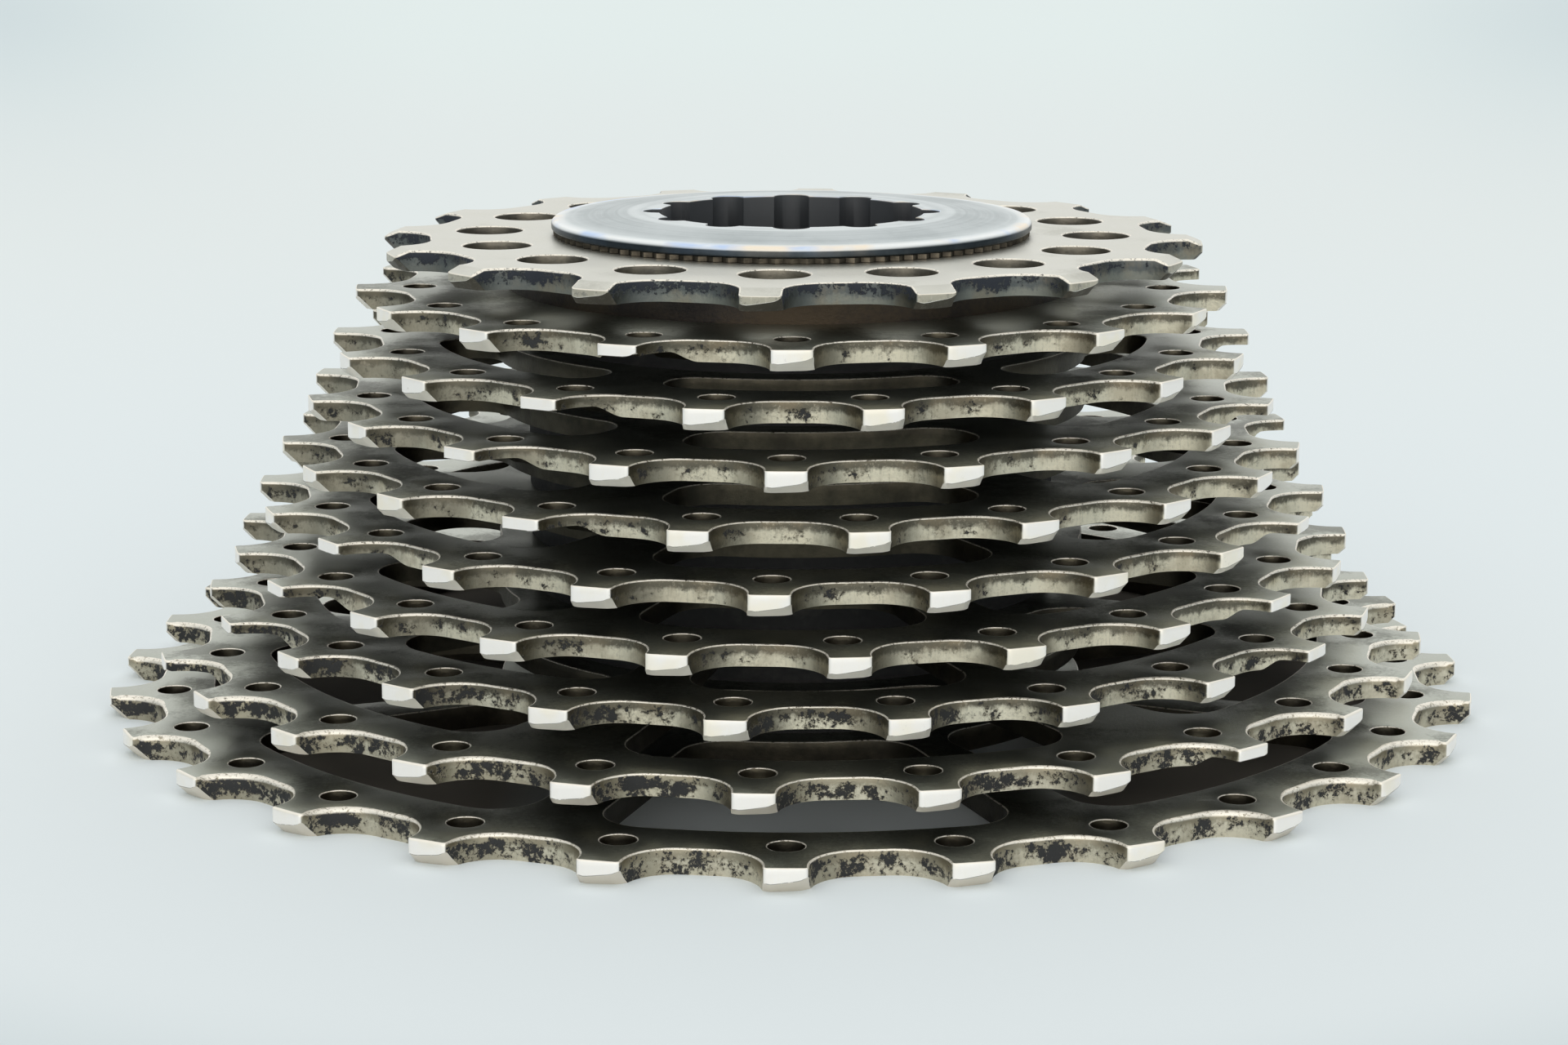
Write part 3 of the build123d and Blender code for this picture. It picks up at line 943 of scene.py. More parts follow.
@dataclass
class Lockring:
    """The lockring: a crowned flange with a scalloped socket, over a threaded skirt.

    Attributes:
        flange: radius of the flange.
        rim_height: its height at the rim, over the washer.
        crown_height: its height round the socket.
        crown_radius: outer radius of the flat ring round the socket.
        chamfer: width of the flange's broken edge.
        socket: radius of the socket.
        notches: how many notches it has for the tool.
        notch_radius: radius of a notch.
        notch_inset: how far the notches' centres lie inside the socket's wall.
        socket_depth: how far the socket reaches below the washer's upper face.
        lip: radius of the socket's rounded rim.
        skirt_bore: inner radius of the skirt.
        thread: outer radius of the thread.
        skirt: length of the skirt.
        pitch: pitch of the thread.
        thread_depth: depth of the thread.
        run_out: length over which the thread fades at the skirt's end.
        node: the node that it stands for.
    """

    flange: float = 19.1
    rim_height: float = 0.8
    crown_height: float = 1.3
    crown_radius: float = 12.8
    chamfer: float = 0.25
    socket: float = 10.5
    notches: int = 12
    notch_radius: float = 1.45
    notch_inset: float = 0.15
    socket_depth: float = 2.0
    lip: float = 0.12
    skirt_bore: float = 12.9
    thread: float = 15.25
    skirt: float = 5.0
    pitch: float = 1.0
    thread_depth: float = 0.5
    run_out: float = 0.8
    node: str = "lockring"

    def columns(self) -> np.ndarray:
        """Angles of the columns: evenly spaced in each notch and in each land between two notches.

        Returns:
            The angles in degrees.
        """
        centre = self.socket - self.notch_inset
        reach = (self.socket ** 2 + centre ** 2 - self.notch_radius ** 2) / (2 * self.socket * centre)
        half = degrees(np.arccos(reach))
        step = 360 / self.notches
        one = np.concatenate([np.linspace(-half, half, 17)[:-1], np.linspace(half, step - half, 9)[:-1]])
        return (np.arange(self.notches)[:, None] * step + one).ravel()

    def scallops(self, angle: np.ndarray) -> np.ndarray:
        """Radius of the socket: its circle, or where larger the far side of the nearest notch's circle.

        Args:
            angle: the columns' angles.

        Returns:
            A radius for each, c cos d + sqrt(r^2 - c^2 sin^2 d) in a notch whose centre lies d away.
        """
        centre = self.socket - self.notch_inset
        offset = from_nearest(angle, self.notches)
        room = self.notch_radius ** 2 - (centre * np.sin(offset)) ** 2
        return np.maximum(self.socket, centre * np.cos(offset) + np.sqrt(np.maximum(room, 0)))

    def thread_rows(self, angle: np.ndarray) -> list[tuple]:
        """The thread's rows: the crest's radius, less its depth times a wave, which fades at the skirt's end.

        The wave is a triangle of the height, less the pitch times the turn.

        Args:
            angle: the columns' angles.

        Returns:
            For each row its radii, its height and its three tags, which are zero.
        """
        rows = []
        for height in np.linspace(-0.25, -self.skirt + 0.35, int((self.skirt - 0.6) / self.pitch * 10)):
            wave = np.abs(((height / self.pitch - angle / 360) % 1) * 2 - 1)
            fade = min(1.0, (height + self.skirt) / self.run_out)
            rows.append((self.thread - self.thread_depth * (1 - fade * wave), height, 0, 0, 0))
        return rows

    def surface(self) -> Surface:
        """The section carried round the axis: the socket's radius is scalloped, and the skirt's is a helix.

        Each row of the section is a radius, a height over the washer, and how much it belongs to the flange's
        side, to an edge with a painted highlight and to the socket.

        Returns:
            The closed ring.
        """
        base = heights(self.node)[0] + self.skirt
        angle = self.columns()
        scallop = self.scallops(angle)
        flange, crown, rim, skirt = self.flange, self.crown_height, self.rim_height, self.skirt
        shoulder, root = rim - self.chamfer, self.thread - self.thread_depth
        section = [
            (scallop, 0.1 - self.socket_depth, 0, 0, 1),
            (scallop, crown - self.lip, 0, 0, 1),
            (scallop + 0.035, crown - 0.035, 0, 1, 0),
            (scallop + self.lip, crown, 0, 0, 0),
            (self.crown_radius - 0.4, crown, 0, 0, 0),
            (self.crown_radius + 0.5, crown - 0.02, 0, 0, 0),
            (flange - self.chamfer - 0.9, rim + 0.085, 0, 0, 0),
            (flange - self.chamfer, rim, 0, 1, 0),
            (flange - 0.06, shoulder + 0.08, 0.4, 0.6, 0),
            (flange, shoulder - 0.05, 1, 0, 0),
            (flange, 0.12, 1, 0, 0),
            (flange - 0.12, 0.0, 1, 0, 0),
            (self.thread + 0.1, 0.0, 0, 0, 0),
            (root, -0.1, 0, 0, 0),
            *self.thread_rows(angle),
            (root - 0.2, -skirt, 0, 0, 0),
            (self.skirt_bore + 0.2, -skirt, 0, 0, 0),
            (self.skirt_bore, 0.2 - skirt, 0, 0, 1),
            (self.skirt_bore, -self.socket_depth, 0, 0, 1),
            (scallop + 0.1, -self.socket_depth, 0, 0, 1),
        ]
        placed = [(radius, base + height, *tags) for radius, height, *tags in section]
        return revolve(angle, placed, ("outer", "edge", "tip"))


# ---------------------------------------------------------------- shader maths

class Graph:
    """The nodes of one material or of the world."""

    def __init__(self, name: str = "", tree: Optional[bpy.types.NodeTree] = None) -> None:
        """Starts a new material, or takes a tree of nodes that is there.

        Args:
            name: the new material's name.
            tree: the tree to take instead.
        """
        if tree is None:
            self.material = bpy.data.materials.new(name)
            self.material.use_nodes = True
            tree = self.material.node_tree
        self.tree = tree
        self.tree.nodes.clear()

    def node(self, kind: str, settings: dict[str, Any], inputs: dict[Union[str, int], Any]) -> bpy.types.Node:
        """Adds one node.

        Args:
            kind: the node's type.
            settings: its own properties, set first.
            inputs: values or sockets for its inputs, by name or number.

        Returns:
            The node.
        """
        node = self.tree.nodes.new(kind)
        for key, value in settings.items():
            setattr(node, key, value)
        for key, value in inputs.items():
            if isinstance(value, Num):
                value = value.socket
            if isinstance(value, bpy.types.NodeSocket):
                self.tree.links.new(value, node.inputs[key])
            else:
                socket = node.inputs[key]
                socket.default_value = (*value, 1.0) if socket.type == "RGBA" and len(value) == 3 else value
        return node

    def tag(self, name: str) -> "Num":
        """One of the surface's tags."""
        return Num(self, self.node("ShaderNodeAttribute", {"attribute_name": name}, {}).outputs["Fac"])

    def place(self, scale: tuple[float, float, float] = (1, 1, 1)) -> bpy.types.NodeSocket:
        """Object coordinates, stretched by a scale along each axis."""
        coordinates = self.node("ShaderNodeTexCoord", {}, {}).outputs["Object"]
        return self.node("ShaderNodeMapping", {}, {"Vector": coordinates, "Scale": scale}).outputs["Vector"]

    def noise(self, scale: float, detail: float = 4.0, roughness: float = 0.55,
              stretch: tuple[float, float, float] = (1, 1, 1), shift: float = 0.0) -> "Num":
        """Fractal noise on Object coordinates.

        Args:
            scale: how many cells there are in a metre.
            detail: how many octaves are added.
            roughness: how strong the finer octaves are.
            stretch: a factor on the scale along each axis.
            shift: which slice of the noise is taken.

        Returns:
            A number about 0.5.
        """
        node = self.node("ShaderNodeTexNoise", {"noise_dimensions": "4D"},
                         {"Vector": self.place(stretch), "W": shift, "Scale": scale, "Detail": detail,
                          "Roughness": roughness})
        return Num(self, node.outputs["Fac"])

    def split(self, vector: Optional[bpy.types.NodeSocket] = None) -> tuple["Num", "Num", "Num"]:
        """The three parts of a vector, or else of the Object coordinates."""
        node = self.node("ShaderNodeSeparateXYZ", {}, {0: vector or self.place()})
        return tuple(Num(self, socket) for socket in node.outputs)

    def mix(self, factor: Any, first: Any, second: Any) -> bpy.types.NodeSocket:
        """A colour between two colours."""
        node = self.node("ShaderNodeMix", {"data_type": "RGBA"}, {"Factor": factor, 6: first, 7: second})
        return node.outputs[2]

    def layers(self, base: Any, *coats: tuple[Any, Any]) -> bpy.types.NodeSocket:
        """Coats laid over a base, one after another.

        Args:
            base: the lowest colour.
            coats: for each coat how much of it there is, and its colour.

        Returns:
            The colour on top.
        """
        for amount, colour in coats:
            base = self.mix(amount, base, colour)
        return base

    def bump(self, height: "Num", distance: float, strength: float = 1.0) -> bpy.types.NodeSocket:
        """A normal that follows a height."""
        return self.node("ShaderNodeBump", {}, {"Height": height, "Distance": distance,
                                                "Strength": strength}).outputs["Normal"]

    def finish(self, **inputs: Any) -> bpy.types.Material:
        """Ends in a Principled shader.

        Args:
            inputs: its sockets, with an underscore for each space.

        Returns:
            The material.
        """
        shader = self.node("ShaderNodeBsdfPrincipled", {},
                           {key.replace("_", " "): value for key, value in inputs.items()})
        self.node("ShaderNodeOutputMaterial", {}, {"Surface": shader.outputs[0]})
        return self.material


def operator(operation: str, reflected: bool = False) -> Callable[["Num", Any], "Num"]:
    """A method of Num that adds one Math node.

    Args:
        operation: the node's operation.
        reflected: whether the number stands on the right of the operator.

    Returns:
        The method.
    """
    def method(self: "Num", other: Any) -> "Num":
        """The operation on the two numbers, in their order."""
        return self.math(operation, *((other, self) if reflected else (self, other)))

    return method


class Num:
    """A number that varies over a surface. Operators on it add Math nodes."""

    __add__, __radd__ = operator("ADD"), operator("ADD", True)
    __sub__, __rsub__ = operator("SUBTRACT"), operator("SUBTRACT", True)
    __mul__, __rmul__ = operator("MULTIPLY"), operator("MULTIPLY", True)
    __truediv__, __pow__ = operator("DIVIDE"), operator("POWER")

    def __init__(self, graph: Graph, socket: bpy.types.NodeSocket) -> None:
        """Wraps a socket."""
        self.graph, self.socket = graph, socket

    def math(self, operation: str, *values: Any) -> "Num":
        """One Math node."""
        node = self.graph.node("ShaderNodeMath", {"operation": operation}, dict(enumerate(values)))
        return Num(self.graph, node.outputs[0])

    def above(self, low: float, high: float) -> "Num":
        """A soft step from 0 at the low value to 1 at the high one."""
        node = self.graph.node("ShaderNodeMapRange", {"interpolation_type": "SMOOTHSTEP"},
                               {"Value": self, "From Min": low, "From Max": high})
        return Num(self.graph, node.outputs[0])

    def below(self, low: float, high: float) -> "Num":
        """A soft step from 1 at the low value to 0 at the high one."""
        return 1 - self.above(low, high)


# ---------------------------------------------------------------- finishes

@dataclass(frozen=True)
class SprocketSteel:
    """Plated steel plates, oily on their faces, grimy in their valleys and worn bright on their lands.

    Attributes:
        name: the material's name.
        face: colour of the faces.
        face_dark: colour of the oil film on them.
        low_band: colour of the lower part of a valley's wall.
        high_band: colour of its upper part.
        brown: colour of the oily stains on it.
        grime: colour of the caked dirt.
        tip: colour of the lands.
        stain: colour of the stains on a land.
        edge: colour of the broken upper edges: wear, and a painted highlight along every rim.
        hole: colour inside the holes and windows, dark brown as painted shade.
        boss: colour of the boss under the first sprocket.
        under: colour of the bevel under a land, a painted light on most plates and painted shade on the first
            sprocket.
        foot: colour of the line where the two meet, painted shade in that crease, and a painted highlight on
            the first sprocket.
        dirt: how much of a wall is caked, 0 to 1.
        soot: how much more of its upper part is caked.
        stained: how much of a land is stained.
        band: where the two bands meet, as a share of the thickness.
        roughness: of the faces.
        film: how much of the faces the oil film covers.
    """

    name: str
    face: Colour = (0.43, 0.455, 0.395)
    face_dark: Colour = (0.22, 0.232, 0.196)
    low_band: Colour = (0.70, 0.645, 0.505)
    high_band: Colour = (0.125, 0.115, 0.088)
    brown: Colour = (0.27, 0.215, 0.14)
    grime: Colour = (0.020, 0.021, 0.022)
    tip: Colour = (0.95, 0.93, 0.895)
    stain: Colour = (0.93, 0.85, 0.64)
    edge: Colour = (0.92, 0.88, 0.78)
    hole: Colour = (0.12, 0.108, 0.08)
    boss: Colour = (0.080, 0.062, 0.045)
    under: Colour = (0.86, 0.82, 0.74)
    foot: Colour = (0.12, 0.11, 0.09)
    dirt: float = 0.36
    soot: float = 0.0
    stained: float = 0.25
    band: float = 0.5
    roughness: float = 0.32
    film: float = 0.6

    def material(self) -> bpy.types.Material:
        """Faces, walls, lands and edges are told apart by the surface's tags, and dirt by noise.

        A face has an oil film. A valley's wall has a bright lower band and a dark upper one, oily stains,
        streaks, worn specks, painted shade on the flanks that face along the turn, and caked dirt within a
        stained border. A land is bright, with freckles.

        Returns:
            The material.
        """
        graph = Graph(self.name)
        outer, height, edge, tip, flank = (graph.tag(name) for name in TAGS)
        broad, patch = graph.noise(110, 4), graph.noise(620, 4, 0.6, shift=5.0)
        crumb, grain = graph.noise(2700, 7, 0.75, shift=3.0), graph.noise(5200, 3, 0.65, shift=9.0)
        streak = graph.noise(5200, 3, 0.6, (1, 1, 0.12), 7.0)
        is_wall, is_land = height.below(0.995, 0.9995), tip.above(0.3, 0.7)

        film = (broad + (crumb - 0.5) * 0.3).above(0.66 - 0.3 * self.film, 0.78 - 0.3 * self.film)
        face = graph.layers(self.face, (film, self.face_dark),
                            ((grain * 0.5 + crumb * 0.5).above(0.6, 0.68) * 0.3, self.edge))

        line = height + (streak - 0.5) * 0.2 + (patch - 0.5) * 0.9 + (crumb - 0.5) * 0.5
        # Flank masks for painted shade: walls that face along the turn from -Y to +X, and those that face
        # back.
        painted_shade_flank, lighter_flank = flank.above(-0.1, 0.6), flank.below(-0.6, -0.1)
        middle = 1 - ((height - 0.45) * 2.2) ** 2
        rising = (height - 0.5) * self.soot
        # The flank masks add a little caked dirt on walls that face along the turn and take some off the
        # others.
        pitted = crumb * 0.5 + patch * 0.5 + middle * 0.05 + rising + painted_shade_flank * 0.02 - lighter_flank * 0.03
        limit = 0.645 - 0.113 * self.dirt
        caked = pitted.above(limit, limit + 0.03)
        # Painted shade: the walls of holes, windows and bore are dark brown, with grime in patches.
        hole = graph.mix((patch * 0.4 + broad * 0.6).above(0.42, 0.6) * 0.5, self.hole, self.grime)
        boss = graph.mix((crumb * 0.3 + broad * 0.7).above(0.4, 0.62) * 0.6, self.boss, self.grime)
        valley = graph.layers(
            self.low_band,
            (line.above(self.band - 0.1, self.band + 0.2), self.high_band),
            (graph.noise(330, 4, 0.6, shift=13.0).above(0.48, 0.62) * 0.4, self.brown),
            ((streak * 0.5 + grain * 0.5).above(0.48, 0.66) * 0.3, self.high_band),
            ((grain * 0.4 + crumb * 0.6).above(0.52, 0.62) * 0.3, self.low_band),
            # Painted shade: strong on walls that face along the turn, slight on those that face back.
            (painted_shade_flank * 0.7 + lighter_flank * 0.1, self.high_band),
            (pitted.above(limit - 0.06, limit + 0.01) * 0.5, self.high_band),
            (caked, self.grime))
        wall = graph.layers(hole, (outer.above(0.2, 0.4), boss), (outer.above(0.6, 0.9), valley))

        spots = 0.12 * self.stained
        freckled = (crumb * 0.6 + patch * 0.4).above(0.62 - spots, 0.70 - spots)
        # Painted line where a land meets its bevel: shade in the crease, and a highlight where the foot
        # colour is bright.
        painted_foot_line = edge.below(-0.93, -0.8) * (patch * 0.5 + crumb * 0.5).above(0.38, 0.48)
        land = graph.layers(
            self.tip,
            (graph.noise(210, 3, shift=11.0).above(0.5, 0.66) * 0.5, self.stain),
            ((streak * 0.7 + grain * 0.3).above(0.5, 0.7) * 0.3, self.edge),
            (freckled * (0.12 + 0.5 * self.stained), self.high_band),
            # Painted light on the bevel under a land; painted shade with the first sprocket's dark colour.
            (height.below(0.12, 0.16) * (0.9 - freckled * 0.3), self.under),
            (painted_foot_line * 0.8, self.foot),
            # Worn broken edge of the land, also a painted highlight.
            (edge.above(0.35, 0.9) * 0.8, self.edge))

        # Broken upper edges of every loop, holes and windows too: wear, and a painted highlight.
        worn = edge.above(0.3, 0.9) * (crumb * 0.5 + grain * 0.5).above(0.38, 0.50)
        dirty = caked * is_wall * outer.above(0.6, 0.9) * (1 - is_land) * (1 - worn)
        relief = grain * 0.35 + crumb * 0.65 + dirty * 0.6
        return graph.finish(
            Base_Color=graph.layers(face, (is_wall, wall), (worn, self.edge), (is_land, land)),
            Metallic=(1 - dirty * 0.85) * (1 - is_land * 0.6) * (1 - worn * 0.45),
            Roughness=self.roughness + film * 0.1 + (grain - 0.5) * 0.2 + dirty * 0.3 + is_land * 0.08,
            Normal=graph.bump(relief * (1 - is_land * 0.7), 0.00005, 0.8))


@dataclass(frozen=True)
class SpacerPlastic:
    """Black moulded plastic with a faint grain and dust."""

    name: str = "spacer_plastic_matte"
    colour: Colour = (0.022, 0.023, 0.025)
    dust: Colour = (0.16, 0.15, 0.13)

    def material(self) -> bpy.types.Material:
        """Grain as bump, and dust where a broad noise is high.

        Returns:
            The material.
        """
        graph = Graph(self.name)
        grain, broad = graph.noise(2600, 3), graph.noise(240, 5)
        colour = graph.mix(broad.above(0.52, 0.8) * 0.5, self.colour, self.dust)
        return graph.finish(Base_Color=colour, Roughness=0.5 + grain * 0.25,
                            Normal=graph.bump(grain, 0.00003, 0.6))


@dataclass(frozen=True)
class TurnedZinc:
    """Bluish plating over fine turning marks, browner on the flange's side, with painted highlights and
    glints on its edges, and near-black in the socket.

    Attributes:
        name: the material's name.
        colour: the plating's colour.
        dull: its darker colour on a ring between the socket's crown and the rim, and in broad patches.
        rim: its colour on the edges, a painted highlight.
        blue: one of the two colours of the painted glints.
        straw: the other one.
        side: its colour on the flange's side.
        inside: its near-black colour in the socket and the bore.
        pitch: distance between two turning marks, in millimetres.
    """

    name: str = "lockring_zinc_turned"
    colour: Colour = (0.62, 0.68, 0.69)
    dull: Colour = (0.37, 0.42, 0.43)
    rim: Colour = (0.93, 0.96, 0.96)
    blue: Colour = (0.30, 0.52, 0.95)
    straw: Colour = (1.0, 0.78, 0.50)
    side: Colour = (0.024, 0.033, 0.042)
    inside: Colour = (0.018, 0.020, 0.026)
    pitch: float = 0.16

    def material(self) -> bpy.types.Material:
        """Turning marks are a wave of the distance from the axis. Tags tell the side and the socket.

        Returns:
            The material.
        """
        graph = Graph(self.name)
        x, y, _ = graph.split()
        radius = (x * x + y * y) ** 0.5 * 1000
        broad, fine = graph.noise(160, 4), graph.noise(1500, 5, 0.6)
        wave = radius * (2 * pi / self.pitch) + broad * 3
        marks = wave.math("SINE", wave)
        bands = graph.node("ShaderNodeTexNoise", {"noise_dimensions": "1D"},
                           {"W": radius * 1.3, "Scale": 1.0, "Detail": 3.0})
        band = Num(graph, bands.outputs["Fac"])
        outer, edge, socket = graph.tag("outer"), graph.tag("edge"), graph.tag("tip")
        ring = radius.above(12.4, 13.6) * radius.below(17.0, 18.4)
        dull = ring * 0.5 + (band * 0.4 + broad * 0.6).above(0.40, 0.62) * 0.4 + fine.above(0.55, 0.75) * 0.1
        # Painted glints, blue and straw, mostly on the edges and faint on the flange's side.
        glint_colour = graph.mix(graph.noise(150, 3, shift=2.0).above(0.42, 0.58), self.blue, self.straw)
        painted_glints = (edge * 0.6 + outer * 0.03) * graph.noise(210, 3, shift=4.0).above(0.42, 0.56)
        colour = graph.layers(
            self.colour,
            (dull * radius.below(17.6, 18.4), self.dull),
            (outer * (0.92 + fine * 0.08), self.side),
            # Painted highlight on the flange's rim and the socket's lip.
            (edge * 0.95, self.rim),
            (painted_glints, glint_colour),
            (socket * (0.9 + broad * 0.1), self.inside))
        return graph.finish(
            Base_Color=colour, Metallic=1 - socket * 0.8 - edge * 0.45,
            Roughness=0.3 + dull * 0.1 + (fine - 0.5) * 0.1 + socket * 0.25,
            Normal=graph.bump(marks * 0.4 + band * 2, 0.00001, 0.5))


@dataclass(frozen=True)
class PlainSteel:
    """Plain steel with specks, for the washer and the rivets, dark as painted shade where its tag says so, in
    the washer's notches.
    """

    name: str
    colour: Colour
    dark: Colour
    roughness: float = 0.4

    def material(self) -> bpy.types.Material:
        """Two colours mixed by noise, with a fine bump.

        Returns:
            The material.
        """
        graph = Graph(self.name)
        fine, broad = graph.noise(1600, 5, 0.6), graph.noise(300, 4)
        specks = (fine * 0.5 + broad * 0.5).above(0.4, 0.62)
        # Painted shade in the washer's notches, where the tag tip is high.
        colour = graph.layers(self.colour, (specks, self.dark), (graph.tag("tip") * 0.85, self.dark))
        return graph.finish(Base_Color=colour, Metallic=1.0, Roughness=self.roughness + (fine - 0.5) * 0.2,
                            Normal=graph.bump(fine, 0.00003, 0.6))


# ---------------------------------------------------------------- the whole cassette

@dataclass
class Cassette:
    """All pieces of the cassette, from the back of the stack to the front."""

    plates: list[Sprocket] = field(default_factory=lambda: [
        Sprocket(27, -0.3, 8, 7.0, 1.5, bevel_rise=0.3, edge_break=0.15, side_break=0.48),
        Sprocket(25, -2.8, 6, 13.5, 6.0, -5, edge_break=0.13, side_break=0.42),
        Sprocket(23, -5.5, 9, 7.5, 4.5, -4),
        Sprocket(22, 5.3, 8, 9.0, -1.0, -4),
        Sprocket(21, -2.0, 6, 14.0, 4.5, -3),
        Sprocket(20, 7.8, 6, 14.0, 4.5, -2),
        Sprocket(19, -0.5, 6, 14.0, 6.5, -2),
        Sprocket(18, -9.7, 6, 12.0, 3.5, -1),
        Sprocket(17, 0.1, gate_tooth=-1, bevel_rise=0.15),
    ])
    first: FirstSprocket = field(default_factory=lambda: FirstSprocket(16, -3.9, bevel_rise=0.1))

    def build(self) -> None:
        """Makes every piece and dresses it."""
        # Each under colour below is painted light on the bevels under the lands, except the first sprocket's,
        # which is painted shade; its foot colour is a painted highlight.
        grimy = SprocketSteel("sprocket_steel_grimy", low_band=(0.70, 0.65, 0.52),
                              high_band=(0.33, 0.30, 0.225), under=(0.70, 0.64, 0.55), dirt=0.95)
        speckled = SprocketSteel("sprocket_steel_speckled", low_band=(0.74, 0.69, 0.55), dirt=0.78)
        oily = SprocketSteel("sprocket_steel_oily")
        satin = SprocketSteel("first_sprocket_satin", face=(0.66, 0.66, 0.595), face_dark=(0.58, 0.58, 0.52),
                              low_band=(0.22, 0.225, 0.195), high_band=(0.11, 0.12, 0.12),
                              grime=(0.018, 0.023, 0.034), tip=(0.40, 0.38, 0.31), stain=(0.66, 0.63, 0.53),
                              hole=(0.27, 0.25, 0.205), under=(0.045, 0.038, 0.03), foot=(0.95, 0.95, 0.88),
                              dirt=0.8, soot=0.2, stained=0.9, band=0.3, roughness=0.38, film=0.35)
        brown = PlainSteel("washer_steel_brown", (0.20, 0.172, 0.135), (0.05, 0.044, 0.036))
        plain = PlainSteel("rivet_steel_plain", (0.50, 0.48, 0.44), (0.30, 0.28, 0.25))

        materials = [grimy.material()] * 2 + [speckled.material()] + [oily.material()] * 6
        for plate, material in zip(self.plates, materials):
            plate.surface().piece(plate.node, Body.STACK, Slot.SPROCKET, material)
        self.first.surface().piece(self.first.node, Body.STACK, Slot.FIRST, satin.material())
        plastic = SpacerPlastic().material()
        for lower, upper in zip(self.plates[:-1], self.plates[1:]):
            spacer = Spacer(lower.teeth, upper.teeth)
            spacer.surface().piece(spacer.node, Body.STACK, Slot.SPACER, plastic)
        washer, ring = LockWasher(), Lockring()
        washer.surface().piece(washer.node, Body.WASHER, Slot.WASHER, brown.material())
        ring.surface().piece(ring.node, Body.LOCKRING, Slot.LOCKRING, TurnedZinc().material())
        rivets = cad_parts["unit_rivets"].data.materials
        rivets.clear()
        rivets.append(plain.material())
        log.info("unit_rivets: kept, with a new material")


# ---------------------------------------------------------------- the table, the light and the camera

@dataclass(frozen=True)
class Table:
    """A wide flat table, pale blue-white, whose colour changes slowly from place to place, with painted shade
    at its corners and a painted shadow under the cassette.

    Attributes:
        rings: radii of its rings of points, in metres.
        columns: how many points there are in a ring.
        near: its colour in front of the cassette.
        middle: its colour at both sides of it.
        far: its colour behind it.
        beyond: its colour at the far end.
        corner: its colour far behind, to the left and the right, darker as painted shade.
        front_corner_shade: its colour in front, away from the cassette, darker as painted shade.
        painted_shadow: its colour under the cassette, a painted shadow.
    """

    rings: tuple[float, ...] = (0.0001, 0.3, 4.0)
    columns: int = 64
    near: Colour = (0.785, 0.85, 0.88)
    middle: Colour = (0.80, 0.87, 0.90)
    far: Colour = (0.80, 0.86, 0.87)
    beyond: Colour = (0.80, 0.885, 0.89)
    corner: Colour = (0.655, 0.745, 0.78)
    front_corner_shade: Colour = (0.66, 0.74, 0.77)
    painted_shadow: Colour = (0.22, 0.205, 0.18)

    def build(self) -> bpy.types.Object:
        """A disc: a centre point and rings of growing radius.

        Returns:
            The table's object.
        """
        radius = np.array(self.rings)[:, None]
        turn = np.linspace(0, 2 * pi, self.columns, endpoint=False)
        points = np.stack([radius * np.cos(turn), radius * np.sin(turn), 0 * radius * turn], axis=-1)
        number = np.arange(radius.size * turn.size).reshape(radius.size, turn.size)
        right = np.roll(number, -1, axis=1)
        quads = np.stack([number[:-1], number[1:], right[1:], right[:-1]], axis=-1).reshape(-1, 4)
        mesh = bpy.data.meshes.new("table")
        mesh.from_pydata(points.reshape(-1, 3).tolist(), [], quads.tolist() + [number[0].tolist()])
        mesh.materials.append(self.material())
        table = bpy.data.objects.new("table", mesh)
        bpy.context.scene.collection.objects.link(table)
        return table

    def material(self) -> bpy.types.Material:
        """Matte: near, middle and far colours by Y, then painted shade at the corners, and a painted shadow
        under the cassette.

        Returns:
            The material.
        """
        graph = Graph("table_pale")
        x, y, _ = graph.split()
        distance = x * x + y * y
        painted_corner_shade = (x * x / (y * y + 0.1)).above(0.01, 0.09)
        colour = graph.layers(
            self.near,
            (y.above(-0.12, 0.08), self.middle),
            (y.above(0.05, 0.34), self.far),
            (y.above(0.38, 0.8), self.beyond),
            # Painted shade far behind at both sides, and in front away from the cassette.
            (painted_corner_shade * y.above(0.2, 0.9), self.corner),
            (distance.above(0.0065, 0.0105) * y.below(-0.1, 0.02), self.front_corner_shade),
            # Painted shadow under the cassette, except along a strip through its middle.
            (distance.below(0.0022, 0.0025) * (x * x).above(0.00012, 0.0005), self.painted_shadow))
        return graph.finish(Base_Color=colour, Roughness=0.9, Specular_IOR_Level=0.1)


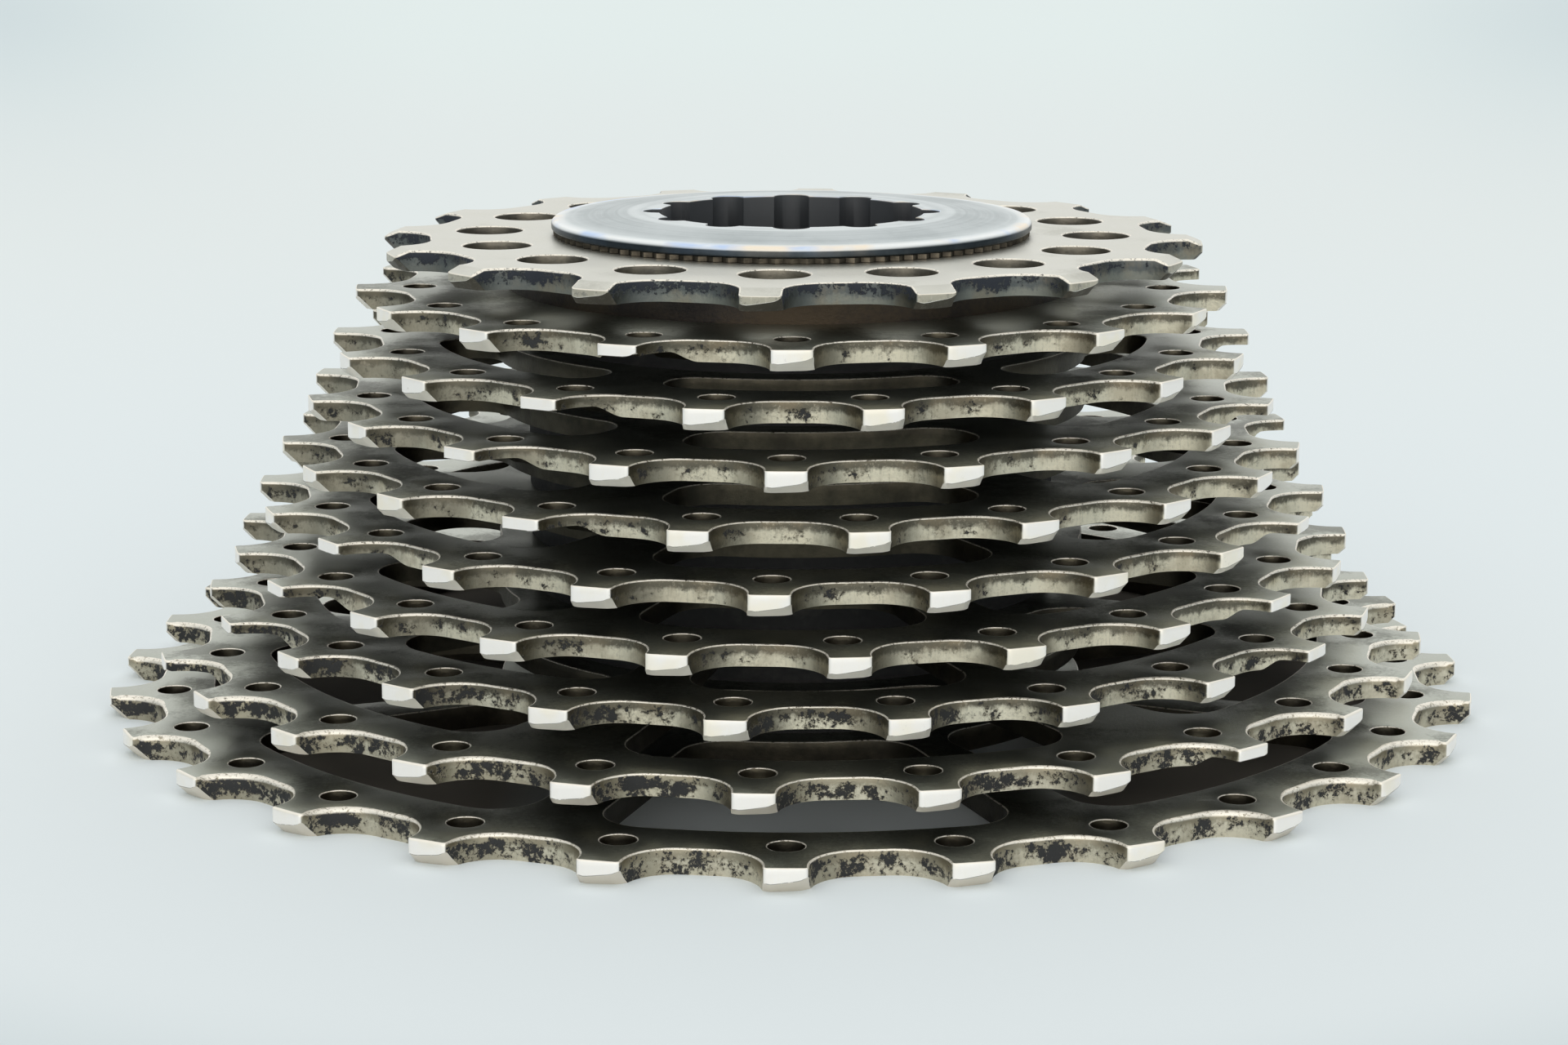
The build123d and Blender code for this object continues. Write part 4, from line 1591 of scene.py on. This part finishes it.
@dataclass(frozen=True)
class Studio:
    """Soft light from all round, brightest in front and dim at both sides, and the camera.

    Attributes:
        sky: light from above and from behind.
        front: light from the front.
        side: light from the far left and right.
        backdrop: what the camera sees where the table ends.
        camera_distance: how far the camera stands in front of the axis, in millimetres.
        camera_height: its height above the table.
        tilt: how far it looks down, in radians.
        swing: how far it looks to the right.
        roll: how far it is rolled anticlockwise.
        lens: its focal length.
        sensor: its sensor's width.
        reach: the nearest and the farthest distance that it sees, in metres.
    """

    sky: Colour = (1.0, 1.0, 0.99)
    front: Colour = (1.58, 1.54, 1.46)
    side: Colour = (0.30, 0.33, 0.34)
    backdrop: Colour = (0.80, 0.84, 0.84)
    camera_distance: float = 274.81
    camera_height: float = 71.91
    tilt: float = 0.2085
    swing: float = -0.0020
    roll: float = 0.0019
    lens: float = 79.474
    sensor: float = 36.0
    reach: tuple[float, float] = (0.01, 20.0)

    def build(self) -> None:
        """Sets the world and the camera. The light's colour is worked out from its direction."""
        scene = bpy.context.scene
        scene.view_settings.view_transform = "Standard"
        scene.world = bpy.data.worlds.new("soft_light")
        scene.world.use_nodes = True
        graph = Graph(tree=scene.world.node_tree)
        direction = graph.node("ShaderNodeTexCoord", {}, {}).outputs["Generated"]
        x, y, _ = graph.split(direction)
        seen = graph.node("ShaderNodeLightPath", {}, {}).outputs["Is Camera Ray"]
        light = graph.layers(self.sky, ((0 - y).above(0.0, 0.9), self.front),
                             ((x * x).above(0.12, 0.8), self.side), (seen, self.backdrop))
        background = graph.node("ShaderNodeBackground", {}, {"Color": light, "Strength": 1.0})
        graph.node("ShaderNodeOutputWorld", {}, {"Surface": background.outputs[0]})
        self.camera()

    def camera(self) -> None:
        """Puts up the camera: forward from its tilt and swing, then rolled about that axis."""
        forward = np.array([sin(self.swing), cos(self.swing), 0.0]) * cos(self.tilt)
        forward[2] = -sin(self.tilt)
        right = np.array([cos(self.swing), -sin(self.swing), 0.0])
        up = np.cross(right, forward)
        rolled = cos(self.roll) * right + sin(self.roll) * up
        upright = cos(self.roll) * up - sin(self.roll) * right
        matrix = np.eye(4)
        matrix[:3, 0], matrix[:3, 1], matrix[:3, 2] = rolled, upright, -forward
        matrix[:3, 3] = np.array([0.0, -self.camera_distance, self.camera_height]) * MM
        data = bpy.data.cameras.new("camera")
        data.lens, data.sensor_width, data.sensor_fit = self.lens, self.sensor, "HORIZONTAL"
        data.clip_start, data.clip_end = self.reach
        camera = bpy.data.objects.new("camera", data)
        camera.matrix_world = Matrix(matrix.tolist())
        bpy.context.scene.collection.objects.link(camera)
        bpy.context.scene.camera = camera


def main() -> None:
    """Builds the cassette, the table and the studio."""
    logging.basicConfig(level=logging.INFO, format="%(name)s: %(message)s")
    Studio().build()
    Table().build()
    Cassette().build()


if __name__ == "__main__":
    main()
